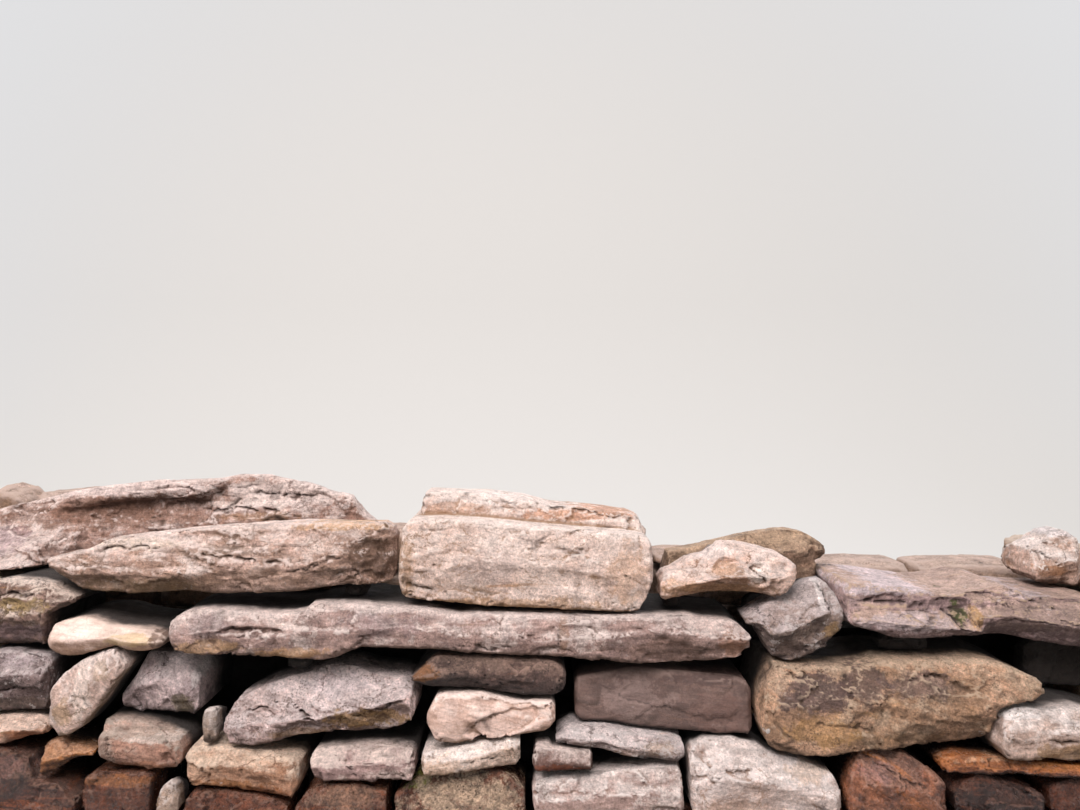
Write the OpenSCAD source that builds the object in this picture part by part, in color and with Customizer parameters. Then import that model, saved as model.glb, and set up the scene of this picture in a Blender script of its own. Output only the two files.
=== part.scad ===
// A stretch of dry stone garden wall, laid without mortar: a footing, lower courses that water
// has stained, a course with one very long slab, and a cope of boulders and slabs.
// X runs along the face, the face looks towards -Y, and Z is up from the ground.
// Every stone is drawn by stations along its length, each [x, foot, top], and some go on with
// [undercut, crown, bulge, level]: how far the foot and the top of its face stand back, how far
// the middle stands out, and at what part of the height the middle lies.

/* [Wall] */
// Length of the wall along its face
wall_l = 2240; // [1900:10:2700]
// Thickness of the wall at its foot
wall_d = 560; // [530:5:680]
// How far the face leans back in each metre of height
batter = 125; // [60:5:170]
// Length of the stones that close the left end of the wall
left_head = 178; // [150:2:210]
// Length of the stones that close the right end of the wall
right_head = 128; // [110:2:160]

/* [Courses] */
// Height of the footing stones
footing_h = 125; // [90:5:180]
// Height of the lower courses, above the footing
lower_h = 235; // [205:5:280]
// Height of the middle course
middle_h = 120; // [100:5:160]
// Height of the course with the long slab
long_h = 90; // [75:5:120]
// Height of the cope at its peak
cope_h = 220; // [180:5:280]

/* [Stones] */
// How far a small stone reaches into the wall
short_reach = 140; // [115:5:145]
// How far an ordinary stone reaches into the wall
mid_reach = 205; // [180:5:230]
// How far a large stone reaches into the wall
long_reach = 255; // [220:5:275]
// How far a cope stone reaches into the wall
cope_reach = 300; // [260:5:310]
// Length over which a stone narrows at its tail
tail_l = 45; // [25:5:60]
// How much a stone loses above and below at its tail
tail_drop = 10; // [4:1:16]
// Depth of the worn edge round a stone's face
arris = 5; // [3:1:12]
// How far the middle of a face swells beyond its edges
swell = 4; // [2:1:10]
// How far a face turns back at the two ends of a stone
end_turn = 7; // [4:1:16]
// How far the proudest stones stand out from the face
proud = 8; // [2:1:12]
// How far the sunken stones of the middle course stand back
sunken = 36; // [24:2:44]
// How far the upper layer of the cap block stands back
cap_step = 76; // [60:2:90]
// How far back the block at the right end of the cope stands
top_block_set = 100; // [80:5:110]

/* [Pins] */
// How far a small pinning stone reaches into the wall
pin_reach = 70; // [60:5:80]
// How far the pinning stones stand back from the face
pin_set = 50; // [40:2:60]
// How far the deepest pinning stone stands back
deep_pin_set = 90; // [70:5:100]

/* [Joints] */
// Gap left where one stone beds on another
bed_gap = 0.4; // [0.2:0.1:0.8]
// Gap left between two stones side by side in the hidden courses
joint = 6; // [3:1:12]

/* [Back] */
// How far a stone of the back face reaches into the wall
back_reach = 140; // [110:5:150]
// How far a cope stone of the back face reaches into the wall
back_cope_reach = 165; // [140:5:175]
// Space kept between the packed core and the stones on both sides of it
core_gap = 0.4; // [0.2:0.1:0.8]
// Where the two rows of the cope meet, from the middle of the wall
cope_split = 60; // [40:5:75]

/* [Hidden] */

half_l = wall_l / 2;
inner_l = -half_l + left_head + bed_gap;
inner_r = half_l - right_head - bed_gap;
lean = batter / 1000;
front_y = -wall_d / 2;
z_foot = footing_h;
z_lower = z_foot + lower_h;
z_middle = z_lower + middle_h;
z_long = z_middle + long_h;
z_cope = z_long + cope_h;
core_a = front_y + lean * z_lower + long_reach;
core_b = max(-front_y - lean * z_lower - back_reach, core_a + 20);
core_front = core_a - core_gap;
core_back = core_b + core_gap;
core_top = z_middle - 15;
cope_limit = cope_split - joint;

// A drawn place along the wall moved to the length between the stones at its ends
function along(x) = inner_l + (x + 942) * (inner_r - inner_l) / 1934;

// A drawn height moved to the heights the courses are set to
function up(z) = lookup(z, [[0, 0], [125, z_foot], [360, z_lower], [480, z_middle], [570, z_long],
    [790, z_cope]]);

// A drawn stone at the size of this wall
function sized(stations) = [for (s = stations)
    concat([along(s[0]), up(s[1]), up(s[2])], [for (i = [3 : 1 : len(s) - 1]) s[i]])];

function foot_at(st, x) = lookup(x, [for (s = st) [s[0], s[1]]]);
function top_at(st, x) = lookup(x, [for (s = st) [s[0], s[2]]]);
function first_x(st) = st[0][0];
function last_x(st) = st[len(st) - 1][0];

// How much one stone has to rise to clear another beneath it
function rise_over(st, low) =
    let (a = max(first_x(st), first_x(low)), b = min(last_x(st), last_x(low)))
    a > b ? -1000 : max([for (x = concat([a, b], [for (s = st) s[0]], [for (s = low) s[0]]))
        if (x >= a && x <= b) top_at(low, x) - foot_at(st, x)]);

function moved(st, dz) = [for (s = st)
    concat([s[0], s[1] + dz, s[2] + dz], [for (i = [3 : 1 : len(s) - 1]) s[i]])];

// A stone let down until it beds on the stones beneath it
function let_down(st, lows) = moved(st, max([for (low = lows) rise_over(st, low)]) + bed_gap);
function bedded(stations, lows) = let_down(sized(stations), lows);

// A layer of a stone that moves with the rest of it
function layer_of(stations, st, drawn_foot) = moved(sized(stations), st[0][1] - up(drawn_foot));

// A number from 0 to 1 that jumps about with i, so that no two stones are the same
function jump(i) = let (v = abs(sin(i * 127.3) * 43.7)) v - floor(v);

// A roughly squared stone, its beds and face a little uneven
function rough(x0, x1, z0, z1, i) =
    let (l = x1 - x0, a = x0 + l * (0.12 + 0.1 * jump(i)), b = x0 + l * (0.45 + 0.12 * jump(i + 1)),
        c = x1 - l * (0.1 + 0.1 * jump(i + 2)))
    [[x0, z0 + 7 * jump(i + 3), z1 - 5 - 9 * jump(i + 4), 6, 6, 2, 0.5],
    [a, z0, z1 - 5 * jump(i + 5), 4, 6 * jump(i + 6), 4 + 6 * jump(i + 7), 0.35],
    [b, z0 + 2 * jump(i + 8), z1, 5 * jump(i + 9), 4, 4 + 7 * jump(i + 10), 0.6],
    [c, z0, z1 - 5 * jump(i + 11), 5, 6 * jump(i + 12), 3 + 6 * jump(i + 13), 0.45],
    [x1, z0 + 7 * jump(i + 14), z1 - 5 - 9 * jump(i + 15), 6, 6, 2, 0.5]];

// One ring round a stone, at a station: foot, face and top, then the tail
function ring(s, xm, set, back, turn) =
    let (x = s[0], f = s[1], t = s[2], h = t - f, e = min(arris, h * 0.3),
        u = len(s) > 3 ? s[3] : 0, c = len(s) > 4 ? s[4] : 0,
        o = len(s) > 5 ? s[5] : turn > 0 ? 0 : min(swell, h / 6),
        level = f + h * (len(s) > 6 ? s[6] : 0.5),
        m = max(f + e + h / 25, min(t - e - h / 25, level)),
        y0 = front_y + set + turn, y1 = back - tail_l - 4,
        xt = xm + (x - xm) * 0.93, d = min(tail_drop, h * 0.3))
    [[x, min(y0 + lean * f + u + arris, y1), f], [x, min(y0 + lean * (f + e) + u, y1 - 4), f + e],
    [x, min(y0 + lean * m - o, y1 - 4), m],
    [x, min(y0 + lean * (t - e) + c, y1 - 4), t - e], [x, min(y0 + lean * t + c + arris, y1), t],
    [x, back - tail_l, t], [xt, back, t - d], [xt, back, f + d], [x, back - tail_l, f]];

// Skin of a row of rings, each of n points, with both ends closed
function skin(n, k) = concat(
    [for (i = [0 : k - 2], j = [0 : n - 1])
        [i * n + j, i * n + (j + 1) % n, (i + 1) * n + (j + 1) % n, (i + 1) * n + j]],
    [for (j = [1 : n - 2]) [0, j + 1, j]],
    [for (j = [1 : n - 2]) [(k - 1) * n, (k - 1) * n + j, (k - 1) * n + j + 1]]);

// A stone from its stations, its face set back from the wall's, reaching no further than a limit
module stone(st, set, reach, limit) {
    k = len(st);
    xm = (first_x(st) + last_x(st)) / 2;
    low = min([for (s = st) s[1]]);
    back = min(front_y + lean * low + set + reach, limit);
    rings = [for (i = [0 : k - 1]) ring(st[i], xm, set, back, i == 0 || i == k - 1 ? end_turn : 0)];
    polyhedron(points = [for (r = rings, p = r) p], faces = skin(9, k), convexity = 6);
}

// A stone of the back face
module back_stone(st, set, reach, limit) {
    mirror([0, 1, 0])
        stone(st, set, reach, -limit);
}

// A ring round a stone that goes through the whole wall, with a face at both sides
function through_ring(s, turn) =
    let (x = s[0], f = s[1], t = s[2], e = arris, m = f + (t - f) * s[6], o = turn > 0 ? 0 : s[5],
        y = wall_d / 2 - turn - 3)
    [[x, -y + lean * f + e, f], [x, -y + lean * (f + e), f + e], [x, -y + lean * m - o, m],
    [x, -y + lean * (t - e) + s[4], t - e], [x, -y + lean * t + e, t],
    [x, y - lean * t - e, t], [x, y - lean * (t - e) - s[4], t - e], [x, y - lean * m + o, m],
    [x, y - lean * (f + e), f + e], [x, y - lean * f - e, f]];

module through_stone(st) {
    k = len(st);
    rings = [for (i = [0 : k - 1]) through_ring(st[i], i == 0 || i == k - 1 ? end_turn : 0)];
    polyhedron(points = [for (r = rings, p = r) p], faces = skin(10, k), convexity = 4);
}

// The footing and the water course, in front
function footing(x0, x1, i) = let (st = rough(along(x0), along(x1), 0, z_foot, i))
    [for (s = st) concat([s[0], 0, s[2]], [for (j = [3 : 6]) s[j]])];
f1 = footing(-942, -640, 1);
f2 = footing(-634, -300, 2);
f3 = footing(-294, 60, 3);
f4 = footing(66, 390, 4);
f5 = footing(396, 700, 5);
f6 = footing(706, 992, 6);
e1 = bedded([[-938, 125, 331], [-890, 125, 330], [-850, 125, 318], [-836, 125, 282], [-800, 125, 276],
    [-765, 125, 250]], [f1]);
e2 = bedded([[-757, 125, 284], [-745, 125, 292], [-700, 125, 294], [-655, 125, 296],
    [-642, 125, 288]], [f1]);
e4 = bedded([[-634, 125, 222], [-592, 125, 224], [-583, 125, 258], [-570, 125, 266, 0, 8],
    [-522, 125, 263, 0, 10], [-444, 125, 250, 0, 8], [-415, 125, 240]], [f2]);
e5 = bedded([[-406, 125, 240], [-390, 125, 262], [-359, 125, 272, 0, 8], [-300, 125, 273, 0, 8],
    [-252, 125, 262]], [f2, f3]);
e6 = bedded([[-244, 125, 256], [-210, 125, 276, 0, 24, 4, 0.7], [-184, 125, 279, 0, 30, 4, 0.7],
    [-106, 125, 290, 0, 28, 4, 0.7], [-67, 125, 291, 0, 20, 4, 0.7], [-40, 125, 280], [-22, 125, 262]],
    [f3]);
e7 = bedded([[-15, 125, 204], [0, 125, 212], [280, 125, 212], [296, 125, 204]], [f3, f4]);
e8 = bedded([[302, 125, 204], [316, 125, 212], [608, 125, 212], [622, 125, 204]], [f4, f5]);
e9 = bedded([[628, 125, 204], [642, 125, 212], [970, 125, 212], [988, 125, 204]], [f5, f6]);

// The lower courses
d2 = bedded([[-834, 290, 316], [-829, 284, 341, 4, 10], [-803, 292, 346, 6, 14],
    [-774, 311, 339, 2, 8], [-741, 316, 328]], [e1]);
d1 = bedded([[-938, 331, 380], [-892, 332, 379, 6, 12, 6, 0.6], [-853, 344, 377, 8, 10],
    [-822, 350, 371], [-816, 354, 364]], [e1, d2]);
d3 = bedded([[-737, 318, 352], [-729, 313, 360], [-700, 301, 359, 3, 2, 3], [-664, 297, 357, 3, 2, 3],
    [-600, 298, 347, 2, 2, 2], [-592, 308, 331]], [e2]);
d3_top = layer_of([[-735, 340, 366], [-730, 340, 378], [-692, 340, 377], [-655, 340, 367],
    [-622, 338, 356], [-606, 336, 349]], d3, 318);
d4 = bedded([[-590, 285, 326], [-583, 272, 335], [-535, 266, 337, 8, 6, 5, 0.6],
    [-522, 264, 334, 8, 6, 4, 0.6], [-459, 254, 323, 14, 3, 5, 0.6], [-407, 249, 316],
    [-397, 275, 308]], [e4]);
d5 = bedded([[-385, 298, 320], [-379, 280, 327, 4, 12], [-359, 273, 329, 4, 14, 4, 0.6],
    [-343, 277, 331, 4, 12], [-278, 275, 335, 3, 14, 4, 0.6], [-210, 278, 329, 0, 10],
    [-205, 296, 320]], [e5, e6]);
d6 = bedded([[-200, 300, 320], [-194, 284, 324], [-158, 283, 330, 3, 4, 4, 0.6],
    [-106, 291, 339, 4, 6, 4, 0.6], [-81, 292, 343, 10, 4, 4, 0.7], [-40, 296, 350, 12, 4, 2, 0.7],
    [-31, 310, 346]], [e6]);
d9 = bedded([[-15, 240, 266], [-8, 216, 278], [8, 213, 283, 2, 10], [94, 213, 289, 2, 12, 5, 0.6],
    [180, 213, 299, 3, 10, 7, 0.6], [232, 213, 303, 3, 8], [240, 222, 290]], [e7]);
d7 = bedded([[-15, 304, 324], [-10, 290, 340], [14, 287, 341, 2, 4], [22, 287, 333, 6, 4],
    [85, 288, 328, 10, 4], [89, 298, 320]], [d9]);
d8 = bedded([[24, 337, 347], [50, 334, 361, 3, 6, 3], [88, 330, 362, 4, 6, 4],
    [113, 324, 361, 4, 6, 4], [138, 316, 357, 4, 6, 4], [183, 308, 351, 3, 6, 4],
    [227, 303, 345, 2, 4, 3], [243, 312, 336]], [d7, d9]);
d10 = bedded([[247, 232, 320], [254, 215, 330, 2, 14], [279, 213, 340, 3, 26, 8, 0.6],
    [326, 213, 341, 4, 30, 10, 0.6], [341, 213, 336, 4, 30, 10, 0.6], [370, 213, 331, 4, 28, 9, 0.6],
    [394, 213, 316, 4, 22, 9, 0.6], [438, 213, 309, 3, 20, 7, 0.6], [490, 217, 288, 2, 10],
    [500, 232, 270]], [e7, e8]);
d11 = bedded([[506, 232, 262], [512, 214, 284], [520, 213, 303, 4, 10],
    [535, 213, 323, 6, 18, 8, 0.6], [576, 213, 322, 6, 20, 9, 0.6], [614, 213, 318, 6, 20, 8, 0.5],
    [642, 213, 304, 5, 14], [662, 215, 288], [676, 226, 276]], [e8, e9]);
d13 = bedded([[684, 232, 262], [700, 214, 278], [727, 213, 287, 2, 10], [745, 213, 286, 2, 10],
    [800, 213, 272, 3, 12], [828, 214, 264, 2, 8], [838, 222, 254]], [e9]);
d14 = bedded([[846, 222, 262], [856, 214, 274], [900, 213, 279, 4, 8], [940, 213, 277, 3, 6],
    [972, 213, 276], [988, 220, 266]], [e9]);
d12 = bedded([[664, 296, 310], [673, 292, 316], [697, 290, 322, 2, 6, 3], [790, 286, 312, 2, 6, 3],
    [886, 281, 306, 2, 5, 2], [972, 279, 303], [988, 282, 298]], [d11, d13, d14]);

// The middle course
c1 = bedded([[-938, 381, 486], [-900, 380, 488, 20, 6, 8, 0.65], [-866, 380, 482, 22, 6, 8, 0.65],
    [-832, 382, 478, 16, 4, 4, 0.6], [-824, 397, 468]], [d1]);
c3 = bedded([[-717, 392, 398], [-712, 386, 420], [-701, 381, 438, 10, 0, 6],
    [-690, 378, 464, 10, 6, 7], [-680, 375, 478, 8, 10, 8], [-640, 371, 476, 10, 12, 10, 0.6],
    [-618, 370, 464, 12, 10, 8], [-596, 368, 448, 14, 8, 4], [-583, 378, 434]], [d3, d3_top]);
c2 = bedded([[-820, 380, 398], [-814, 366, 436], [-802, 349, 456, 2, 10, 6],
    [-778, 354, 474, 2, 12, 8], [-761, 364, 482, 3, 10, 8], [-738, 392, 491, 4, 6, 7], [-712, 432, 498],
    [-701, 446, 484], [-692, 460, 471]], [d1, d2, d3, d3_top, c3]);
c5 = bedded([[-533, 352, 376], [-520, 334, 402, 2, 14, 6], [-498, 331, 413, 4, 22, 10, 0.45],
    [-482, 330, 421, 5, 26, 12, 0.45], [-437, 333, 436, 8, 34, 14, 0.42],
    [-399, 344, 443, 14, 40, 14, 0.36], [-370, 345, 453, 20, 46, 14, 0.3],
    [-344, 345, 456, 24, 44, 14, 0.38], [-315, 342, 452, 28, 40, 13, 0.45],
    [-289, 345, 443, 28, 34, 12, 0.52], [-229, 356, 438, 20, 18, 8, 0.7], [-212, 367, 430],
    [-205, 385, 404]], [d4, d5]);
c7 = bedded([[-190, 366, 384], [-176, 343, 412], [-160, 335, 418, 2, 2, 4], [-138, 334, 418, 2, 2, 5],
    [-97, 346, 418, 2, 4, 4], [-68, 345, 411, 2, 10, 3, 0.6], [-40, 351, 404, 2, 10, 3, 0.6],
    [8, 355, 405, 1, 4, 2], [20, 362, 405], [27, 371, 396]], [d6, d7, d8]);
c6 = bedded([[-219, 435, 443], [-213, 432, 449, 2, 6], [-187, 425, 473, 4, 6, 4],
    [-175, 423, 479, 5, 5, 4], [-121, 420, 480, 6, 4, 4], [-97, 419, 479, 7, 4, 4],
    [-68, 414, 478, 8, 3, 3], [-29, 410, 475, 8, 3, 3], [0, 412, 474, 6, 3, 2], [27, 414, 470],
    [40, 419, 460], [46, 431, 449]], [c5, c7]);
c8 = bedded([[58, 372, 424], [64, 364, 436, 0, 2, 1], [113, 362, 445, 0, 5, 1],
    [123, 361, 446, 0, 6, 1], [160, 355, 450, 0, 10, 3, 0.6], [219, 348, 448, 0, 2, 2],
    [300, 342, 441, 0, 3, 3], [334, 342, 438, 1, 3, 2], [355, 340, 430], [363, 350, 415]], [d8, d10]);
c10 = bedded([[755, 338, 345], [760, 326, 360], [764, 318, 377, 2, 4, 3],
    [769, 315, 391, 2, 8, 4, 0.65], [784, 313, 399, 2, 12, 5, 0.65], [815, 312, 400, 4, 14, 5, 0.65],
    [837, 315, 395, 6, 12, 4, 0.6], [873, 308, 398, 10, 14, 5, 0.6], [900, 306, 400, 12, 14, 5, 0.6],
    [972, 304, 384, 8, 10], [988, 308, 372]], [d12]);
c9 = bedded([[366, 368, 392], [371, 345, 413], [377, 330, 432, 4, 8, 4],
    [393, 322, 467, 8, 10, 8, 0.6], [433, 315, 464, 10, 10, 8, 0.6], [480, 317, 462, 8, 12, 8, 0.6],
    [529, 324, 463, 8, 12, 9, 0.6], [557, 324, 466, 8, 14, 8, 0.6], [584, 324, 473, 14, 14, 7, 0.52],
    [620, 326, 472, 24, 14, 7, 0.46], [700, 331, 473, 32, 14, 6, 0.43],
    [742, 335, 475, 26, 12, 6, 0.43], [749, 339, 475, 20, 12, 5, 0.46], [755, 350, 474, 14, 12, 4],
    [760, 366, 473, 10, 12, 4], [764, 381, 472, 6, 12, 3], [770, 394, 471, 4, 10, 3], [785, 401, 467],
    [829, 409, 448], [842, 418, 432]], [d10, d11, d12, c10]);

// Small stones that fill and pin the joints
p1 = bedded([[-565, 366, 388], [-559, 339, 396], [-546, 338, 397], [-537, 343, 395]], [d4]);
p2 = bedded([[-633, 234, 254], [-628, 226, 270], [-611, 224, 282], [-600, 225, 276],
    [-594, 232, 260]], [e4]);
p3 = bedded([[-440, 445, 466], [-428, 442, 469], [-404, 443, 470], [-394, 449, 466]], [c5]);
p5 = bedded([[590, 477, 494], [604, 474, 503], [660, 474, 503], [676, 477, 496]], [c9]);
p6 = bedded([[862, 403, 470], [880, 400, 486], [955, 401, 485], [978, 404, 470]], [c10]);
p7 = bedded([[384, 471, 539], [396, 468, 548], [486, 467, 549], [498, 470, 539]], [c9]);

// The course with the long slab
b2 = bedded([[-829, 500, 518], [-822, 490, 534, 4, 8], [-808, 483, 538, 6, 12, 8],
    [-790, 481, 542, 6, 14, 9], [-770, 482, 543, 6, 14, 9], [-757, 487, 541, 4, 12, 9],
    [-738, 492, 535, 2, 10, 7], [-712, 499, 529, 0, 8, 6], [-698, 492, 527, 2, 8, 6],
    [-685, 489, 526, 4, 8, 6], [-664, 489, 524, 4, 8, 6], [-640, 494, 519, 2, 6, 3], [-632, 500, 510]],
    [c1, c2, c3]);
b1 = bedded([[-938, 489, 602], [-910, 489, 606, 14, 10, 10, 0.55], [-858, 489, 602, 16, 12, 8, 0.55],
    [-838, 492, 598, 8, 10, 6], [-832, 545, 597], [-800, 556, 582, 4, 6, 4], [-794, 560, 580],
    [-788, 563, 574]], [c1, b2]);
b3 = bedded([[-628, 510, 536], [-618, 492, 546, 4, 6, 2], [-600, 479, 552, 8, 6, 4],
    [-560, 478, 556, 8, 6, 5], [-505, 478, 553, 8, 5, 6, 0.6], [-450, 475, 549, 9, 5, 7, 0.6],
    [-400, 470, 552, 10, 5, 7, 0.6], [-392, 469, 562, 10, 6, 7, 0.6], [-363, 468, 564, 10, 6, 6],
    [-337, 474, 564, 8, 6, 6], [-303, 490, 564, 4, 5, 5], [-215, 488, 558, 4, 5, 5],
    [-187, 489, 556, 4, 5, 5], [-135, 483, 547, 4, 4, 4], [-108, 480, 550, 5, 4, 4],
    [0, 476, 547, 6, 4, 4], [45, 474, 546, 7, 4, 4], [98, 466, 545, 9, 4, 5, 0.6],
    [175, 461, 545, 14, 4, 6, 0.65], [252, 462, 545, 16, 4, 4, 0.65], [280, 463, 540, 16, 8, 2, 0.6],
    [330, 471, 537, 16, 12, 0, 0.6], [344, 480, 528, 12, 12, 0], [356, 489, 514]],
    [c3, c5, c6, c7, c8, p3]);
p4 = bedded([[-345, 568, 583], [-335, 565, 588], [-312, 565, 588], [-302, 568, 583]], [b3]);
p8 = bedded([[216, 548, 560], [222, 546, 567], [240, 546, 569], [247, 548, 560]], [b3]);
b4 = bedded([[346, 528, 541], [364, 518, 552, 6, 8, 8], [372, 512, 556, 8, 10, 12],
    [380, 491, 560, 10, 14, 14], [390, 470, 565, 14, 18, 16], [426, 465, 578, 18, 24, 20, 0.55],
    [447, 467, 588, 20, 26, 22, 0.55], [466, 476, 597, 18, 26, 20, 0.6],
    [487, 488, 601, 14, 22, 14, 0.6], [494, 495, 600, 10, 18, 10], [510, 512, 581, 4, 8, 4],
    [516, 526, 560]], [b3, c9]);

// Stones laid through the wall at its two ends, each let down on the one beneath it
function head_stones(x0, x1, zs, i) = [for (j = [0 : len(zs) - 2])
    rough(x0, x1, up(zs[j]), up(zs[j + 1]), i + 5 * j)];
function stacked(list, j) = j == 0 ? [for (p = list[0]) concat([p[0], 0], [for (m = [2 : 6]) p[m]])]
    : let_down(list[j], [stacked(list, j - 1)]);
left_heads = head_stones(-half_l, inner_l - bed_gap, [0, 140, 225, 350, 440, 520, 605], 3);
right_heads = head_stones(inner_r + bed_gap, half_l, [0, 120, 240, 325, 450, 560, 630], 9);
left_top = stacked(left_heads, len(left_heads) - 1);

// The cope
a3 = bedded([[-845, 628, 640], [-823, 608, 646, 8, 4, 2], [-795, 581, 650, 18, 6, 4, 0.45],
    [-770, 577, 661, 14, 8, 8, 0.42], [-750, 575, 670, 12, 10, 10, 0.4],
    [-700, 573, 677, 12, 12, 12, 0.38], [-611, 577, 686, 12, 12, 12, 0.36],
    [-555, 572, 691, 10, 12, 10, 0.38], [-410, 577, 699, 10, 8, 8, 0.42],
    [-330, 589, 699, 14, 8, 6, 0.5], [-300, 589, 699, 20, 10, 4], [-268, 589, 699, 34, 14, -14],
    [-254, 592, 690, 44, 30, -30], [-247, 608, 676, 44, 34, -34]], [b1, b2, b3, p4]);
a2 = bedded([[-1106, 612, 676, -60, 0, 16, 0.5], [-1090, 608, 690, -100, 6, 30, 0.5],
    [-1010, 607, 709, -108, 8, 28, 0.5], [-932, 607, 727, -104, 14, 16, 0.52],
    [-886, 606, 738, -40, 20, -6, 0.56], [-856, 603, 742, 0, 21, -14, 0.6],
    [-815, 600, 748, 0, 22, -18, 0.6], [-725, 590, 756, 0, 22, -18, 0.6],
    [-660, 583, 758, 0, 20, -14, 0.6], [-635, 580, 759, 0, 18, -10, 0.6],
    [-576, 575, 770, 0, 18, -10, 0.6], [-516, 571, 768, 0, 18, -10, 0.6],
    [-444, 567, 754, 0, 16, -8, 0.6], [-398, 564, 739, 0, 8, 4], [-356, 565, 730, 0, 6, 4],
    [-344, 576, 714], [-325, 600, 693], [-298, 640, 676]], [b1, b2, b3, left_top]);
a2_rim = layer_of([[-1080, 660, 684], [-1010, 680, 710, 0, 2, 2], [-932, 694, 730, 0, 3, 4],
    [-886, 703, 741, 0, 3, 5], [-815, 711, 751, 0, 3, 6], [-725, 720, 759, 0, 3, 6],
    [-640, 726, 762, 0, 3, 5], [-606, 738, 764], [-594, 748, 765]], a2, 612);
a2_ledge = layer_of([[-640, 660, 672], [-620, 640, 706], [-560, 650, 716, 2, 4, 3],
    [-490, 664, 722, 2, 4, 4], [-440, 672, 712, 2, 3, 3], [-420, 680, 696]], a2, 612);
a4 = bedded([[-244, 584, 622], [-238, 573, 690], [-228, 569, 704, 8, 3, 3], [-170, 562, 706, 8, 3, 5],
    [-100, 556, 701, 7, 4, 6], [0, 549, 692, 6, 4, 6], [100, 546, 684, 6, 4, 5],
    [154, 545, 680, 8, 6, 4], [172, 548, 678, 8, 8, 3], [184, 568, 676], [190, 588, 672],
    [196, 606, 660]], [b3]);
a4_top = layer_of([[-219, 690, 712], [-212, 688, 743, 0, 4, 4], [-105, 686, 741, 0, 5, 5],
    [-30, 680, 732, 0, 6, 5], [16, 676, 719, 0, 6, 4], [105, 668, 711, 0, 6, 4],
    [163, 662, 705, 0, 5, 3], [182, 660, 698], [188, 660, 688]], a4, 584);
a6 = bedded([[204, 570, 600], [212, 566, 614, 4, 8], [227, 569, 618, 8, 14, 4],
    [255, 573, 636, 12, 20, 8, 0.42], [287, 578, 643, 16, 22, 12, 0.4],
    [311, 579, 660, 18, 26, 15, 0.4], [340, 580, 664, 18, 28, 17, 0.38],
    [365, 579, 658, 16, 24, 15, 0.4], [394, 573, 651, 10, 22, 12, 0.45], [402, 571, 648, 8, 20, 10],
    [420, 578, 645, 4, 14, 6], [432, 592, 638], [441, 604, 630]], [b3, b4, p8]);
a9 = bedded([[520, 530, 590], [528, 524, 600, 0, 8, -8], [564, 515, 597, 0, 10, -10, 0.7],
    [600, 504, 594, 0, 12, -12, 0.7], [640, 503, 588, 0, 12, -12, 0.7],
    [700, 505, 580, 0, 10, -10, 0.7], [722, 505, 581, 4, 10, -6, 0.6], [738, 505, 583, 14, 14, 8, 0.5],
    [765, 505, 588, 20, 18, 14, 0.5], [790, 505, 593, 22, 20, 16, 0.5],
    [826, 500, 585, 24, 20, 16, 0.5], [845, 495, 575, 22, 22, 16, 0.55],
    [906, 487, 571, 20, 26, 16, 0.5], [972, 485, 569, 14, 20, 10], [990, 490, 558]],
    [b4, c9, c10, p5, p6]);
a9_ledge = layer_of([[523, 534, 542], [530, 526, 552], [560, 517, 557, 6, 8, 4, 0.6],
    [600, 506, 556, 8, 8, 6, 0.6], [650, 505, 553, 8, 10, 6, 0.55], [700, 507, 546, 8, 10, 6, 0.5],
    [738, 508, 536, 6, 8, 2], [748, 512, 526]], a9, 530);
a5 = bedded([[228, 552, 583], [239, 545, 625, 10, 10], [280, 545, 632, 14, 12, 6, 0.6],
    [331, 545, 641, 16, 12, 8, 0.65], [379, 546, 655, 8, 12, 10, 0.7], [450, 547, 665, 8, 14, 12, 0.7],
    [472, 547, 666, 8, 14, 12, 0.7], [500, 548, 661, 6, 12, 8, 0.65], [512, 552, 657, 4, 10, 4],
    [519, 603, 653], [532, 610, 645], [541, 618, 634]], [b3, p7, a9]);
a8 = bedded([[893, 590, 610], [900, 578, 640, 4, 12], [930, 572, 655, 6, 18, 8],
    [945, 571, 668, 6, 18, 10], [972, 570, 674, 4, 16, 8], [990, 576, 660]], [a9]);

// The back, row on row, each stone let down on the row beneath it
function row_of(ends, i) = [for (j = [0 : len(ends) - 2])
    [along(ends[j]) + (j > 0 ? joint / 2 : 0), along(ends[j + 1]) - (j < len(ends) - 2 ? joint / 2 : 0),
    i + 3 * j]];
function laid_row(spans, z0, z1, lows) =
    [for (s = spans) let_down(rough(s[0], s[1], z0, z1, s[2]), lows)];
back_low = z_foot + 0.48 * lower_h;
g0 = [for (s = row_of([-942, -610, -330, -20, 300, 640, 992], 20))
    let (st = rough(s[0], s[1], 0, z_foot, s[2]))
    [for (p = st) concat([p[0], 0], [for (j = [2 : 6]) p[j]])]];
g1 = laid_row(row_of([-942, -700, -420, -180, 90, 330, 600, 800, 992], 31), z_foot, back_low, g0);
g2 = laid_row(row_of([-942, -820, -560, -310, -60, 200, 470, 690, 992], 47), back_low, z_lower, g1);
g3 = laid_row(row_of([-942, -690, -450, -170, 60, 380, 590, 850, 992], 62), z_lower, z_middle, g2);
g4 = laid_row(row_of([-942, -780, -520, -260, 10, 230, 520], 85), z_middle, z_long, g3);
g5 = laid_row(row_of([526, 760, 992], 97), z_middle, z_long + 14, g3);
g6 = [for (c = [[-1030, -615, 698, 1], [-615, -400, 702, 4], [-400, -236, 652, 5], [-236, 30, 700, 7],
    [30, 222, 652, 11], [222, 523, 606, 13]])
    let_down(rough(along(c[0]) + joint / 2, along(c[1]) - joint / 2, z_long, up(c[2]), c[3]),
        concat(g4, [left_top]))];
corner_stone = bedded([[-1114, 610, 728, 6, 6, 2, 0.5], [-1098, 606, 742, 6, 8, 6, 0.5],
    [-1064, 606, 732, 6, 8, 6, 0.5], [-1036, 610, 704, 6, 6, 2, 0.5]], [left_top]);

module wall_head(list) {
    for (j = [0 : len(list) - 1])
        through_stone(stacked(list, j));
}

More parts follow.
